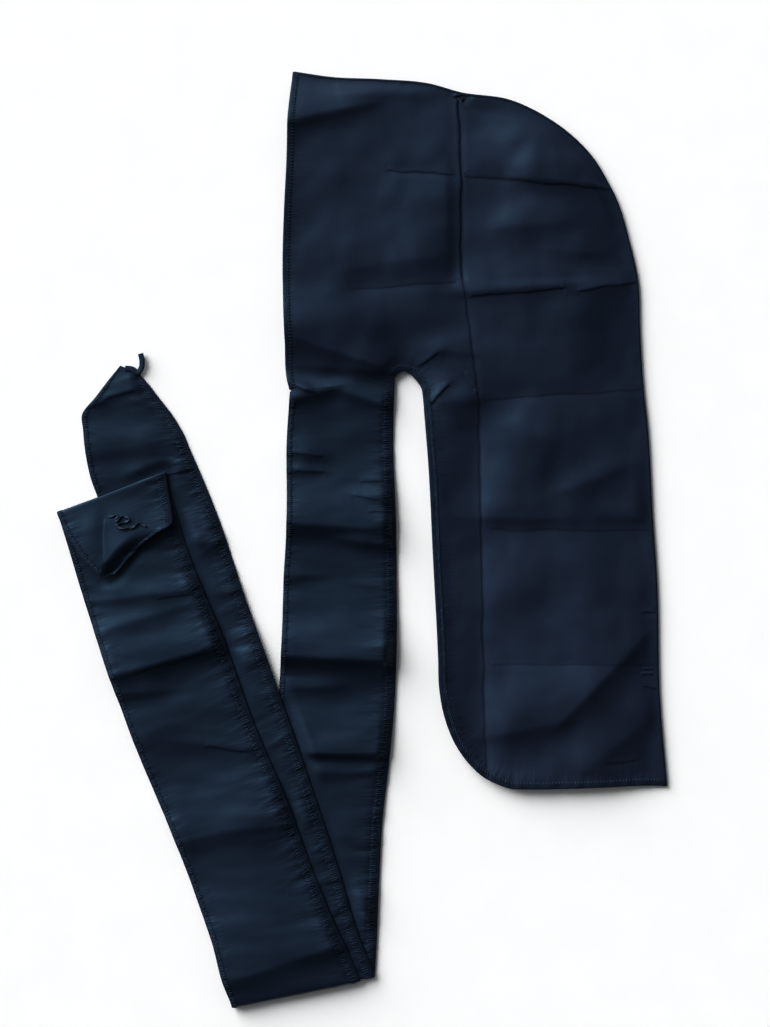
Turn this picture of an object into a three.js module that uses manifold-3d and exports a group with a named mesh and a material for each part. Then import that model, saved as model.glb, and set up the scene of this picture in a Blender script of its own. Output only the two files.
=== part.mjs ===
import * as THREE from "three";
import { mergeVertices } from "three/addons/utils/BufferGeometryUtils.js";
import Module from "manifold-3d";

// A satin durag folded in half along its crown seam and laid flat. Both ties run down together,
// fold up to the left at the bottom, and the far tie's end is turned over on itself.
// Millimetres, +Z up. The drawing's zero is the lower end of the cap's front edge, where the ties
// begin: +X runs towards the nape and +Y towards the crown.

// Cap and tail
const capHeight = 240; // tie join to the upper front corner
const tailWidth = 165; // across the tail at the nape
const tailLength = 295; // nape to the tail's lower edge
const notchWidth = 22; // open slot between the tie and the tail

// Ties
const tieWidth = 80; // at the join; the tables widen it towards the bottom fold
const tieDrop = 450; // join down to the bottom fold
const nearRise = 484; // bottom fold up to the near tie's tip
const farRise = 402; // bottom fold up to the far tie's upper fold
const flapLength = 63; // end of the far tie, turned back over the upper fold
const nearLean = 16.9; // degrees by which each returning strap leans to the left
const farLean = 20.2;

// Cloth, hems and seam
const clothThick = 1;
const hemThick = 1.6;
const layerGap = 0.6; // air between two layers that lie on each other
const pieceGap = 0.3; // between a hem and the cloth that it edges
const seamWidth = 4;
const panelHem = 5;
const outerHem = 4; // the tie's flat edge
const innerHem = 7; // the tie's gathered edge
const hemEndWidth = 1.6; // loose end of a tie's hem
const hemEndThick = 0.8;

// Relief of the laid cloth
const capPuff = 6; // near side's rise over the middle of the cap
const mouthLift = 5; // near side's rise at the open front edge
const tailPuff = 3;
const creaseDepth = 1.5; // the packing creases sink this far between the pillows
const wrinkleHeight = 2.2;
const flapLift = 9; // how far the turned end springs off the strap at its right
const flapLeftLift = 0.35; // and at its left, as a share of that
const drapeReach = 55; // a layer comes down to the surface over this distance
const puffReach = 60; // the cap rises from its seams over this distance
const hemPuffReach = 40; // and from the tail's hems over this one
const creaseReach = 14;
const meshStep = 16; // spacing of the stations along a strap and of the panel's grid

const capDepth = tieWidth + notchWidth + tailWidth;
const layerPitch = hemThick + layerGap;
const tailFront = capDepth - tailWidth;

const wasm = await Module();
wasm.setup();

const { smoothstep, lerp, degToRad } = THREE.MathUtils;
const flat = (x, y) => new THREE.Vector2(x, y);

// Outline of the cap and tail

// Front edge from the tie join up. Columns: out, share of capDepth; up, share of capHeight.
const frontTable = [
  [0.006, 0.0],
  [-0.003, 0.04],
  [-0.008, 0.16],
  [-0.014, 0.41],
  [-0.011, 0.54],
  [-0.003, 0.73],
  [0.0, 0.85],
  [0.014, 1.0],
];

// Crown and back of the head, from the upper front corner to the nape. Columns as above.
const crownTable = [
  [0.014, 1.0],
  [0.118, 0.984],
  [0.258, 0.977],
  [0.399, 0.963],
  [0.483, 0.937],
  [0.626, 0.912],
  [0.739, 0.85],
  [0.812, 0.787],
  [0.862, 0.725],
  [0.896, 0.662],
  [0.924, 0.6],
  [0.958, 0.475],
  [0.983, 0.35],
  [0.989, 0.19],
  [1.0, 0.0],
];

// Seamed back of the tail below the nape. Columns: out from capDepth, share of tailWidth;
// down, share of tailLength.
const backTable = [
  [0.014, 0.071],
  [0.041, 0.325],
  [0.059, 0.478],
  [0.073, 0.783],
  [0.105, 1.0],
];

// Front of the tail, from its lower edge up. Columns: out from tailFront, share of tailWidth;
// down, share of tailLength.
const tailFrontTable = [
  [0.305, 1.0],
  [0.275, 0.972],
  [0.195, 0.936],
  [0.132, 0.885],
  [0.095, 0.834],
  [0.064, 0.681],
  [0.041, 0.427],
  [0.018, 0.173],
  [0.0, 0.05],
];

// Round top of the notch, from the tail to the tie. Columns: out from tieWidth and up,
// both shares of notchWidth.
const notchTable = [
  [0.97, -0.27],
  [0.9, 0.14],
  [0.69, 0.44],
  [0.49, 0.63],
  [0.284, 0.7],
  [0.114, 0.63],
  [0.0, 0.44],
];

const frontPath = frontTable.map(([out, up]) => flat(out * capDepth, up * capHeight));
const crownPath = crownTable.map(([out, up]) => flat(out * capDepth, up * capHeight));
const backPath = backTable.map(([out, down]) => flat(capDepth + out * tailWidth, -down * tailLength));
const seamPath = [...crownPath, ...backPath];
const tailFrontPath = tailFrontTable.map(([out, down]) =>
  flat(tailFront + out * tailWidth, -down * tailLength),
);
const notchPath = notchTable.map(([out, up]) => flat(tieWidth + out * notchWidth, up * notchWidth));
const backHemPath = [seamPath.at(-1), ...tailFrontPath, ...notchPath];
const joinPath = [notchPath.at(-1), frontPath[0]];
const outline = [...frontPath, ...seamPath.slice(1), ...backHemPath.slice(1)];

// Plane geometry

function distanceToPath(point, path) {
  let nearest = Infinity;
  for (let i = 1; i < path.length; i++) {
    const along = path[i].clone().sub(path[i - 1]);
    const offset = point.clone().sub(path[i - 1]);
    const share = THREE.MathUtils.clamp(offset.dot(along) / along.lengthSq(), 0, 1);
    nearest = Math.min(nearest, offset.addScaledVector(along, -share).length());
  }
  return nearest;
}

function isInside(point, region) {
  let inside = false;
  region.forEach((corner, i) => {
    const last = region.at(i - 1);
    const crosses = corner.y > point.y !== last.y > point.y;
    const reached = ((last.x - corner.x) * (point.y - corner.y)) / (last.y - corner.y) + corner.x;
    if (crosses && point.x < reached) inside = !inside;
  });
  return inside;
}

// 1 on a region and within a margin round it, falling to 0 in a half cosine beyond that.
function cover(point, region, margin, reach) {
  if (isInside(point, region)) return 1;
  const distance = distanceToPath(point, [...region, region[0]]) - margin;
  return 0.5 + 0.5 * Math.cos(Math.PI * THREE.MathUtils.clamp(distance / reach, 0, 1));
}

// Each point of a path moved to its right by a distance, with mitred corners.
function offsetPath(path, distance) {
  return path.map((point, i) => {
    const before = i > 0 ? point.clone().sub(path[i - 1]).normalize() : null;
    const after = i < path.length - 1 ? path[i + 1].clone().sub(point).normalize() : null;
    const heading = (before ?? after).clone().add(after ?? before).normalize();
    const side = flat(heading.y, -heading.x);
    const edge = after ?? before;
    return point.clone().addScaledVector(side, distance / side.dot(flat(edge.y, -edge.x)));
  });
}

// A path with its first or last stretch made longer, or shorter where the length is negative.
function extendPath(path, atStart, atEnd) {
  const longer = path.map((point) => point.clone());
  const first = path[0].clone().sub(path[1]).normalize();
  const last = path.at(-1).clone().sub(path.at(-2)).normalize();
  longer[0].addScaledVector(first, atStart);
  longer.at(-1).addScaledVector(last, atEnd);
  return longer;
}

// Points along a path no further apart than the mesh step.
function dividePath(path) {
  const points = [path[0]];
  for (let i = 1; i < path.length; i++) {
    const parts = Math.ceil(path[i].distanceTo(path[i - 1]) / meshStep);
    for (let k = 1; k <= parts; k++) points.push(path[i - 1].clone().lerp(path[i], k / parts));
  }
  return points;
}

// A fold is a ridge from a left point to a right point, steep below and gentle above.
function foldHeight(point, fold) {
  const along = fold.to.clone().sub(fold.from);
  const length = along.length();
  along.divideScalar(length);
  const offset = point.clone().sub(fold.from);
  const travelled = offset.dot(along);
  const beyond = Math.max(0, -travelled, travelled - length);
  const below = offset.dot(flat(along.y, -along.x));
  const reach = below > 0 ? fold.steep : fold.gentle;
  return fold.height * Math.exp(-((below / reach) ** 2) - (beyond / fold.gentle) ** 2);
}

// Relief of the near side

// The upright packing crease, from the crown down. Columns: across, share of capDepth; up from the
// nape, share of capHeight, or where it is negative of tailLength.
const uprightTable = [
  [0.478, 0.937],
  [0.489, 0.341],
  [0.534, -0.02],
  [0.553, -0.973],
];

// Level packing creases, from the crown down. Columns: up at the upright crease, as above; how far
// it runs to the left and to the right, shares of capDepth; and its rise that way, per unit run.
const levelTable = [
  [0.672, 0.19, 0.0735, 0.41, -0.0886],
  [0.341, 0.3, -0.065, 0.49, 0.045],
  [-0.02, 0, 0, 0.46, 0.06],
  [-0.342, 0, 0, 0.49, -0.076],
  [-0.686, 0, 0, 0.48, -0.017],
];

// Soft folds of the near side. Columns: left end, right end (across, share of capDepth; up, share
// of capHeight), height, share of wrinkleHeight, gentle and steep reach, shares of puffReach.
const panelFoldTable = [
  [0.045, 0.105, 0.33, 0.02, 0.75, 0.45, 0.14],
  [0.39, 0.07, 0.52, 0.15, 0.7, 0.3, 0.14],
  [0.42, -0.08, 0.53, 0.0, 0.6, 0.25, 0.12],
  [0.06, 0.83, 0.27, 0.93, 0.5, 0.35, 0.2],
  [0.57, -1.06, 1.01, -0.75, 0.9, 0.7, 0.4],
];

const heightOfShare = (up) => up * (up > 0 ? capHeight : tailLength);
const uprightPath = uprightTable.map(([across, up]) => flat(across * capDepth, heightOfShare(up)));

// Where the upright crease, or the line that carries it on, is at a height.
function uprightAt(y) {
  const found = uprightPath.findIndex((point, i) => i > 0 && y >= point.y);
  const lower = found < 0 ? uprightPath.length - 1 : found;
  const [start, end] = [uprightPath[lower - 1], uprightPath[lower]];
  return lerp(start.x, end.x, (y - start.y) / (end.y - start.y));
}

const levels = levelTable.map(([up, left, leftRise, right, rightRise]) => {
  const y = heightOfShare(up);
  const x = uprightAt(y);
  const path = [flat(x, y), flat(x + right * capDepth, y + right * capDepth * rightRise)];
  if (left > 0) path.unshift(flat(x - left * capDepth, y + left * capDepth * leftRise));
  return { y, leftRise, rightRise, path };
});
const creases = [uprightPath, ...levels.map((level) => level.path)];

const panelFolds = panelFoldTable.map(([x1, up1, x2, up2, height, gentle, steep]) => ({
  from: flat(x1 * capDepth, up1 * capHeight),
  to: flat(x2 * capDepth, up2 * capHeight),
  height: height * wrinkleHeight,
  gentle: gentle * puffReach,
  steep: steep * puffReach,
}));

// Height of the near side's underside: it lies on the far side along its seam, hem and tie join,
// and rises between them, a little less along the open front.
function nearSideHeight(point) {
  const atSeam = smoothstep(distanceToPath(point, seamPath), 0, puffReach);
  const atHem = smoothstep(distanceToPath(point, backHemPath), 0, hemPuffReach);
  const atJoin = smoothstep(distanceToPath(point, joinPath), 0, puffReach);
  const atFront = smoothstep(distanceToPath(point, frontPath), 0, puffReach);
  const inCap = smoothstep(point.y, -puffReach, puffReach);
  const puff = lerp(tailPuff, lerp(mouthLift, capPuff, atFront), inCap);
  const pillow = creases.reduce(
    (height, crease) => height * (1 - Math.exp(-distanceToPath(point, crease) / creaseReach)),
    creaseDepth,
  );
  const folds = panelFolds.reduce((sum, fold) => sum + foldHeight(point, fold), 0);
  return layerPitch + (puff + pillow + folds) * atSeam * atHem * atJoin;
}

// Straps

// Left and right edges of a tie's straight run. Columns: down, share of tieDrop; left and right,
// shares of tieWidth.
const farDropTable = [
  [0.08, -0.01, 0.966],
  [0.213, 0.03, 1.012],
  [0.413, 0.02, 1.02],
  [0.513, -0.05, 0.985],
  [0.613, -0.14, 0.93],
  [0.713, -0.23, 0.86],
  [0.813, -0.32, 0.8],
  [0.913, -0.42, 0.735],
];
const nearDropTable = [
  [0.08, -0.01, 0.965],
  [0.213, -0.01, 0.965],
  [0.313, -0.04, 0.97],
  [0.413, -0.055, 0.975],
  [0.513, -0.09, 0.985],
  [0.613, -0.14, 0.94],
  [0.713, -0.19, 0.88],
  [0.813, -0.23, 0.853],
  [0.913, -0.27, 0.83],
];

// Rows across a strap that leans away from the bottom fold. Columns: along, share of its length;
// aside, share of tieWidth; width, share of tieWidth; tilt, degrees.
const nearRiseTable = [
  [0.0, 0.0, 1.11, 9.2],
  [0.068, -0.037, 1.11, 15.7],
  [0.155, -0.029, 1.1, 18.9],
  [0.334, -0.048, 1.09, 19.0],
  [0.47, -0.067, 1.06, 19.0],
  [0.602, -0.09, 1.02, 19.3],
  [0.732, -0.105, 1.005, 19.6],
  [0.806, -0.132, 0.99, 14.8],
  [0.863, -0.155, 0.97, 10.0],
  [0.909, -0.138, 0.92, 0.0],
  [0.934, -0.14, 0.84, -0.6],
  [0.96, -0.093, 0.58, 0.0],
  [0.983, -0.042, 0.357, -4.5],
  [1.0, 0.0, 0.18, -21.0],
];
const farRiseTable = [
  [0.0, 0.0, 1.225, 9.25],
  [0.054, 0.0, 1.21, 11.1],
  [0.13, 0.0, 1.14, 14.0],
  [0.189, -0.005, 1.118, 20.1],
  [0.348, -0.009, 1.118, 20.1],
  [0.51, -0.049, 1.118, 20.1],
  [0.669, -0.049, 1.127, 19.9],
  [0.828, -0.053, 1.074, 21.0],
  [0.944, -0.02, 1.07, 20.5],
  [1.0, 0.0, 1.087, 21.2],
];
const flapTable = [
  [0.0, 0.0, 1.087, 21.2],
  [0.226, 0.05, 1.04, 18.9],
  [0.4, 0.094, 0.99, 15.5],
  [0.53, 0.122, 0.925, 13.5],
  [0.655, 0.089, 0.726, 19.6],
  [0.79, 0.042, 0.475, 22.0],
  [1.0, -0.014, 0.13, 17.0],
];

function strapRows(table, foot, length, lean) {
  const axis = flat(-Math.sin(degToRad(lean)), Math.cos(degToRad(lean)));
  const side = flat(Math.abs(axis.y), -axis.x); // always the +X side of the strap
  return table.map(([along, aside, width, tilt]) => {
    const centre = foot.clone().addScaledVector(axis, along * length);
    centre.addScaledVector(side, aside * tieWidth);
    const half = flat(Math.cos(degToRad(tilt)), Math.sin(degToRad(tilt)));
    half.multiplyScalar((width * tieWidth) / 2);
    return { left: centre.clone().sub(half), right: centre.clone().add(half) };
  });
}

function dropRows(table, foldRow) {
  const start = {
    left: frontPath[0].clone().setY(frontPath[0].y - pieceGap),
    right: notchPath.at(-1).clone().setY(notchPath.at(-1).y - pieceGap),
  };
  const rows = table.map(([down, left, right]) => ({
    left: flat(left * tieWidth, -down * tieDrop),
    right: flat(right * tieWidth, -down * tieDrop),
  }));
  return [start, ...rows, foldRow];
}

// The unit direction out of a fold, square to its row; +1 is down, -1 is up.
function outOfFold(row, sense) {
  const across = row.right.clone().sub(row.left).normalize();
  return flat(across.y * sense, -across.x * sense);
}

// A fold's row moved in from the outermost line of the bend to the middle of its arc.
function bendRow(row, sense, layersApart) {
  const bulge = (layersApart * layerPitch + hemThick) / 2;
  const inward = outOfFold(row, sense).multiplyScalar(-bulge);
  return { left: row.left.clone().add(inward), right: row.right.clone().add(inward) };
}

// Middle of the bottom fold, of the near tie and of the far one. Columns: across, share of
// tieWidth; down, share of tieDrop.
const bottomFoldTable = [
  [0.27, 0.991],
  [0.08, 1.004],
];
const [nearFoot, farFoot] = bottomFoldTable.map(([across, down]) =>
  flat(across * tieWidth, -down * tieDrop),
);
const nearRiseRows = strapRows(nearRiseTable, nearFoot, nearRise, nearLean);
const farRiseRows = strapRows(farRiseTable, farFoot, farRise, farLean);
const flapFoot = farRiseRows.at(-1).left.clone().lerp(farRiseRows.at(-1).right, 0.5);
const flapRows = strapRows(flapTable, flapFoot, flapLength, 180); // straight down again
const nearBend = bendRow(nearRiseRows[0], 1, 1);
const farBend = bendRow(farRiseRows[0], 1, 3);
const flapBend = bendRow(farRiseRows.at(-1), -1, 1);
nearRiseRows[0] = nearBend;
farRiseRows[0] = farBend;
farRiseRows[farRiseRows.length - 1] = flapBend;
flapRows[0] = flapBend;

const regionOf = (rows) => [
  ...rows.map((row) => row.left),
  ...rows.map((row) => row.right).reverse(),
];

function pointOnRows(rows, along, across) {
  const place = along * (rows.length - 1);
  const index = Math.min(Math.floor(place), rows.length - 2);
  const left = rows[index].left.clone().lerp(rows[index + 1].left, place - index);
  const right = rows[index].right.clone().lerp(rows[index + 1].right, place - index);
  return left.lerp(right, across);
}

// Wrinkles across the straps, where they show. Columns: along the run at the left end and at the
// right end, shares of its rows; across, left and right end; height, share of wrinkleHeight;
// gentle and steep reach, shares of tieWidth.
const nearDropFoldTable = [
  [0.05, 0.05, 0.05, 0.95, 0.4, 0.12, 0.1],
  [0.215, 0.215, 0.05, 0.95, 1.0, 0.3, 0.12],
  [0.42, 0.42, 0.0, 1.0, 1.1, 0.26, 0.1],
  [0.595, 0.6, 0.35, 1.0, 0.8, 0.2, 0.08],
  [0.79, 0.79, 0.75, 1.0, 0.6, 0.2, 0.14],
];
const nearRiseFoldTable = [
  [0.62, 0.62, 0.1, 0.95, 1.0, 0.2, 0.12],
  [0.77, 0.8, 0.05, 0.95, 0.6, 0.16, 0.1],
];
const farRiseFoldTable = [
  [0.2, 0.24, 0.1, 0.9, 0.5, 0.3, 0.2],
  [0.36, 0.38, 0.1, 0.95, 0.8, 0.3, 0.12],
  [0.52, 0.52, 0.05, 0.6, 0.6, 0.2, 0.12],
  [0.6, 0.6, 0.05, 0.98, 0.9, 0.3, 0.12],
  [0.69, 0.7, 0.3, 0.98, 0.7, 0.22, 0.12],
];

function strapRun(rows, foldTable) {
  const folds = foldTable.map(
    ([leftAlong, rightAlong, leftAcross, rightAcross, height, gentle, steep]) => ({
      from: pointOnRows(rows, leftAlong, leftAcross),
      to: pointOnRows(rows, rightAlong, rightAcross),
      height: height * wrinkleHeight,
      gentle: gentle * tieWidth,
      steep: steep * tieWidth,
    }),
  );
  return { rows, folds, region: regionOf(rows) };
}

const farDropRun = strapRun(dropRows(farDropTable, farBend), []);
const nearDropRun = strapRun(dropRows(nearDropTable, nearBend), nearDropFoldTable);
const nearRiseRun = strapRun(nearRiseRows, nearRiseFoldTable);
const farRiseRun = strapRun(farRiseRows, farRiseFoldTable);
const turnedEnd = strapRun(flapRows, []);
// The order in which they lie on each other, lowest first.
const runs = [farDropRun, nearDropRun, nearRiseRun, farRiseRun, turnedEnd];

// Middle height of a run at a point: the layers below it, and its own wrinkles where no later
// layer presses them flat.
function runHeight(run, point) {
  const level = runs.indexOf(run);
  let height = hemThick / 2;
  for (const below of runs.slice(0, level)) {
    height += layerPitch * cover(point, below.region, layerPitch, drapeReach);
  }
  let wrinkle = run.folds.reduce((sum, fold) => sum + foldHeight(point, fold), 0);
  for (const above of runs.slice(level + 1)) {
    wrinkle *= 1 - cover(point, above.region, meshStep, meshStep);
  }
  return height + wrinkle;
}

// Stations along a tie. Each has its row, the height of a point on it, and the way and the angle
// in which a bend turns.
function runStations(rows, heightAt) {
  const stations = [];
  for (let i = 0; i < rows.length; i++) {
    const last = rows[i - 1];
    const parts = last
      ? Math.ceil(
          Math.max(rows[i].left.distanceTo(last.left), rows[i].right.distanceTo(last.right)) /
            meshStep,
        )
      : 1;
    for (let k = last ? 1 : 0; k <= (last ? parts : 0); k++) {
      const share = k / parts;
      stations.push({
        left: last ? last.left.clone().lerp(rows[i].left, share) : rows[i].left,
        right: last ? last.right.clone().lerp(rows[i].right, share) : rows[i].right,
        place: (Math.max(i - 1, 0) + share) / (rows.length - 1),
        heightAt,
      });
    }
  }
  return stations;
}

const bendSteps = 6;
function bendStations(row, sense, lowAt, highAt) {
  const outward = outOfFold(row, sense);
  const stations = [];
  for (let k = 1; k < bendSteps; k++) {
    const angle = Math.PI * (k / bendSteps - 0.5);
    stations.push({ ...row, outward, angle, lowAt, highAt });
  }
  return stations;
}

function stationPoint(station, across) {
  const point = station.left.clone().lerp(station.right, across);
  if (station.outward === undefined) {
    const height = station.heightAt(point, across, station.place);
    return new THREE.Vector3(point.x, point.y, height);
  }
  const low = station.lowAt(point);
  const high = station.highAt(point);
  const radius = (high - low) / 2;
  point.addScaledVector(station.outward, radius * Math.cos(station.angle));
  return new THREE.Vector3(point.x, point.y, (low + high) / 2 + radius * Math.sin(station.angle));
}

const heightOf = (run) => (point) => runHeight(run, point);
const onStrap = (point) => runHeight(farRiseRun, point) + layerPitch;
function flapHeight(point, across, along) {
  return onStrap(point) + flapLift * along ** 2 * lerp(flapLeftLift, 1, across);
}

const nearStations = [
  ...runStations(nearDropRun.rows, heightOf(nearDropRun)),
  ...bendStations(nearBend, 1, heightOf(nearDropRun), heightOf(nearRiseRun)),
  ...runStations(nearRiseRun.rows, heightOf(nearRiseRun)),
];
const farStations = [
  ...runStations(farDropRun.rows, heightOf(farDropRun)),
  ...bendStations(farBend, 1, heightOf(farDropRun), heightOf(farRiseRun)),
  ...runStations(farRiseRun.rows, heightOf(farRiseRun)),
  ...bendStations(flapBend, -1, heightOf(farRiseRun), onStrap),
  ...runStations(turnedEnd.rows, flapHeight),
];

// Solids

function closedGeometry(positions, index) {
  const geometry = new THREE.BufferGeometry();
  geometry.setAttribute("position", new THREE.Float32BufferAttribute(positions, 3));
  geometry.setIndex(index);
  geometry.computeVertexNormals();
  return geometry;
}

function gridNormal(grid, i, j) {
  const rows = grid.length - 1;
  const columns = grid[0].length - 1;
  const along = grid[Math.min(i + 1, rows)][j].clone().sub(grid[Math.max(i - 1, 0)][j]);
  const across = grid[i][Math.min(j + 1, columns)].clone().sub(grid[i][Math.max(j - 1, 0)]);
  return along.cross(across).normalize();
}

// A wall of even thickness about a grid of points, closed round its rim.
function clothWall(grid, thickness) {
  const rows = grid.length;
  const columns = grid[0].length;
  const positions = [];
  for (const side of [0.5, -0.5]) {
    grid.forEach((row, i) =>
      row.forEach((point, j) => {
        const shifted = point.clone().addScaledVector(gridNormal(grid, i, j), side * thickness);
        positions.push(shifted.x, shifted.y, shifted.z);
      }),
    );
  }
  const place = (side, i, j) => (side * rows + i) * columns + j;
  const index = [];
  for (let i = 0; i < rows - 1; i++) {
    for (let j = 0; j < columns - 1; j++) {
      const corners = (side) => [
        place(side, i, j),
        place(side, i + 1, j),
        place(side, i + 1, j + 1),
        place(side, i, j + 1),
      ];
      const [a, b, c, d] = corners(0);
      index.push(a, b, c, a, c, d);
      const [e, f, g, h] = corners(1);
      index.push(e, g, f, e, h, g);
    }
  }
  const rim = [];
  for (let i = 0; i < rows - 1; i++) rim.push([i, 0]);
  for (let j = 0; j < columns - 1; j++) rim.push([rows - 1, j]);
  for (let i = rows - 1; i > 0; i--) rim.push([i, columns - 1]);
  for (let j = columns - 1; j > 0; j--) rim.push([0, j]);
  rim.forEach(([i, j], k) => {
    const [nextI, nextJ] = rim[(k + 1) % rim.length];
    const [a, b] = [place(0, i, j), place(0, nextI, nextJ)];
    const [c, d] = [place(1, i, j), place(1, nextI, nextJ)];
    index.push(a, c, d, a, d, b);
  });
  return closedGeometry(positions, index);
}

// A closed strip: a ring of corners carried along a path. Each corner has a distance in from the
// path and a height, measured from the surface that the strip lies on.
function carriedStrip(path, ring, surfaceAt) {
  const points = dividePath(path);
  const lines = ring.map(([inward]) => offsetPath(points, inward));
  const positions = [];
  for (let i = 0; i < points.length; i++) {
    ring.forEach(([, height], k) => {
      const point = lines[k][i];
      positions.push(point.x, point.y, surfaceAt(point) + height);
    });
  }
  const index = [];
  const count = ring.length;
  for (let i = 0; i < points.length - 1; i++) {
    for (let k = 0; k < count; k++) {
      const [a, b] = [i * count + k, i * count + ((k + 1) % count)];
      index.push(a, b, b + count, a, b + count, a + count);
    }
  }
  const last = (points.length - 1) * count;
  for (let k = 1; k < count - 1; k++) {
    index.push(0, k + 1, k);
    index.push(last, last + k, last + k + 1);
  }
  return closedGeometry(positions, index);
}

function solidOf(geometry) {
  const bare = geometry.clone();
  bare.deleteAttribute("normal");
  bare.deleteAttribute("uv");
  const merged = mergeVertices(bare);
  return new wasm.Manifold(
    new wasm.Mesh({
      numProp: 3,
      vertProperties: new Float32Array(merged.attributes.position.array),
      triVerts: new Uint32Array(merged.index.array),
    }),
  );
}

function geometryOf(solid) {
  const mesh = solid.getMesh();
  return closedGeometry(Array.from(mesh.vertProperties), Array.from(mesh.triVerts));
}

function prism(corners, low, high) {
  const geometry = new THREE.ExtrudeGeometry(new THREE.Shape(corners), {
    depth: high - low,
    bevelEnabled: false,
  });
  return solidOf(geometry.translate(0, 0, low));
}

// Panels: the outline less a band for each hem and for the seam.

const panelTop =
  layerPitch + Math.max(capPuff, mouthLift, tailPuff) + creaseDepth + 2 * wrinkleHeight + hemThick;

function bandPrism(path, width) {
  const longer = extendPath(path, panelHem, panelHem);
  const band = [...offsetPath(longer, -panelHem), ...offsetPath(longer, width + pieceGap).reverse()];
  return prism(band, -hemThick, panelTop + hemThick);
}

function panelPrism(low, high) {
  return prism(outline, low, high)
    .subtract(bandPrism(seamPath, seamWidth))
    .subtract(bandPrism(frontPath, panelHem))
    .subtract(bandPrism(backHemPath, panelHem));
}

// The near side's grid has lines along the packing creases: its columns lie between the upright
// crease and the edges, its rows between the level creases.
const gridMargin = meshStep;
const gridLevels = [
  { y: capHeight + gridMargin, leftRise: 0, rightRise: 0 },
  ...levels,
  { y: -tailLength - gridMargin, leftRise: 0, rightRise: 0 },
];

function nearSideRow(y, leftRise, rightRise) {
  const upright = uprightAt(y);
  const columnsEachSide = Math.ceil(capDepth / 2 / meshStep);
  const row = [];
  for (let k = -columnsEachSide; k <= columnsEachSide; k++) {
    const edge = k < 0 ? -gridMargin : seamPath.at(-1).x + gridMargin;
    const x = lerp(upright, edge, Math.abs(k) / columnsEachSide);
    const point = flat(x, y + Math.abs(x - upright) * (k < 0 ? leftRise : rightRise));
    row.push(new THREE.Vector3(point.x, point.y, nearSideHeight(point) + clothThick / 2));
  }
  return row;
}

function nearSideGrid() {
  const grid = [];
  for (let i = 1; i < gridLevels.length; i++) {
    const [above, below] = [gridLevels[i - 1], gridLevels[i]];
    const parts = Math.ceil((above.y - below.y) / meshStep);
    for (let k = i === 1 ? 0 : 1; k <= parts; k++) {
      const between = (name) => lerp(above[name], below[name], k / parts);
      grid.push(nearSideRow(between("y"), between("leftRise"), between("rightRise")));
    }
  }
  return grid;
}

const nearPanel = solidOf(clothWall(nearSideGrid(), clothThick)).intersect(
  panelPrism(0, panelTop),
);

// Hems and seam. A hem's outer edge is rounded by one chamfer, and so is the seam's.

const hemRing = (width, thickness) => [
  [0, thickness * 0.25],
  [0, thickness * 0.75],
  [thickness * 0.25, thickness],
  [width, thickness],
  [width, 0],
  [thickness * 0.25, 0],
];
const onTable = () => 0;

// A hem of the cap or tail, cut short where it meets the crown seam.
function panelHemStrip(path, surfaceAt) {
  const strip = solidOf(carriedStrip(path, hemRing(panelHem, hemThick), surfaceAt));
  return geometryOf(strip.subtract(bandPrism(seamPath, seamWidth)));
}

// Tie pieces: the cloth between the two hems, and the hems. A hem narrows with the tie's end.

const fullHemShare = 0.5; // of tieWidth: on a narrower row the hem narrows too
const hemShare = (station, width) => {
  const across = station.left.distanceTo(station.right);
  return (width / across) * Math.min(1, across / (fullHemShare * tieWidth));
};

function tieWall(stations, thickness, from, to, columns) {
  const grid = stations.map((station) => {
    const row = [];
    for (let j = 0; j <= columns; j++) {
      row.push(stationPoint(station, lerp(from(station), to(station), j / columns)));
    }
    return row;
  });
  return clothWall(grid, thickness);
}

const tieColumns = Math.ceil((tieWidth - outerHem - innerHem) / meshStep);
const tieCloth = (stations) =>
  tieWall(
    stations,
    clothThick,
    (station) => hemShare(station, outerHem + pieceGap),
    (station) => 1 - hemShare(station, innerHem + pieceGap),
    tieColumns,
  );
const tieOuterHem = (stations) =>
  tieWall(stations, hemThick, () => 0, (station) => hemShare(station, outerHem), 1);
const tieInnerHem = (stations) =>
  tieWall(stations, hemThick, (station) => 1 - hemShare(station, innerHem), () => 1, 1);

// Loose ends of the hems: short flat tapes, one standing off the near tie's tip and one lying in
// a bend on the turned end of the far tie.

const tapeStepsPerPoint = 4;
function tape(points) {
  const section = new THREE.Shape([
    flat(-hemEndThick / 2, -hemEndWidth / 2),
    flat(hemEndThick / 2, -hemEndWidth / 2),
    flat(hemEndThick / 2, hemEndWidth / 2),
    flat(-hemEndThick / 2, hemEndWidth / 2),
  ]);
  return new THREE.ExtrudeGeometry(section, {
    extrudePath: new THREE.CatmullRomCurve3(points),
    steps: points.length * tapeStepsPerPoint,
    bevelEnabled: false,
  });
}

// Columns: right of the tip and up from it, shares of innerHem.
const nearEndTable = [
  [0.3, -0.15],
  [0.42, 0.5],
  [0.5, 1.7],
  [0.85, 2.25],
  [1.2, 1.6],
  [1.15, 0.35],
];
// Columns: along the turned end and across it, shares.
const farEndTable = [
  [0.24, 0.4],
  [0.3, 0.58],
  [0.33, 0.66],
  [0.38, 0.6],
  [0.36, 0.44],
  [0.4, 0.38],
  [0.45, 0.46],
  [0.5, 0.64],
];

function nearHemEnd() {
  const tip = nearRiseRun.rows.at(-1).right;
  return tape(
    nearEndTable.map(
      ([right, up]) =>
        new THREE.Vector3(tip.x + right * innerHem, tip.y + up * innerHem, hemThick / 2),
    ),
  );
}

function farHemEnd() {
  const above = (clothThick + hemEndThick) / 2 + 2 * pieceGap;
  return tape(
    farEndTable.map(([along, across]) => {
      const point = pointOnRows(turnedEnd.rows, along, across);
      return new THREE.Vector3(point.x, point.y, flapHeight(point, across, along) + above);
    }),
  );
}

// The finished durag

const durag = new THREE.Group();

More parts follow.
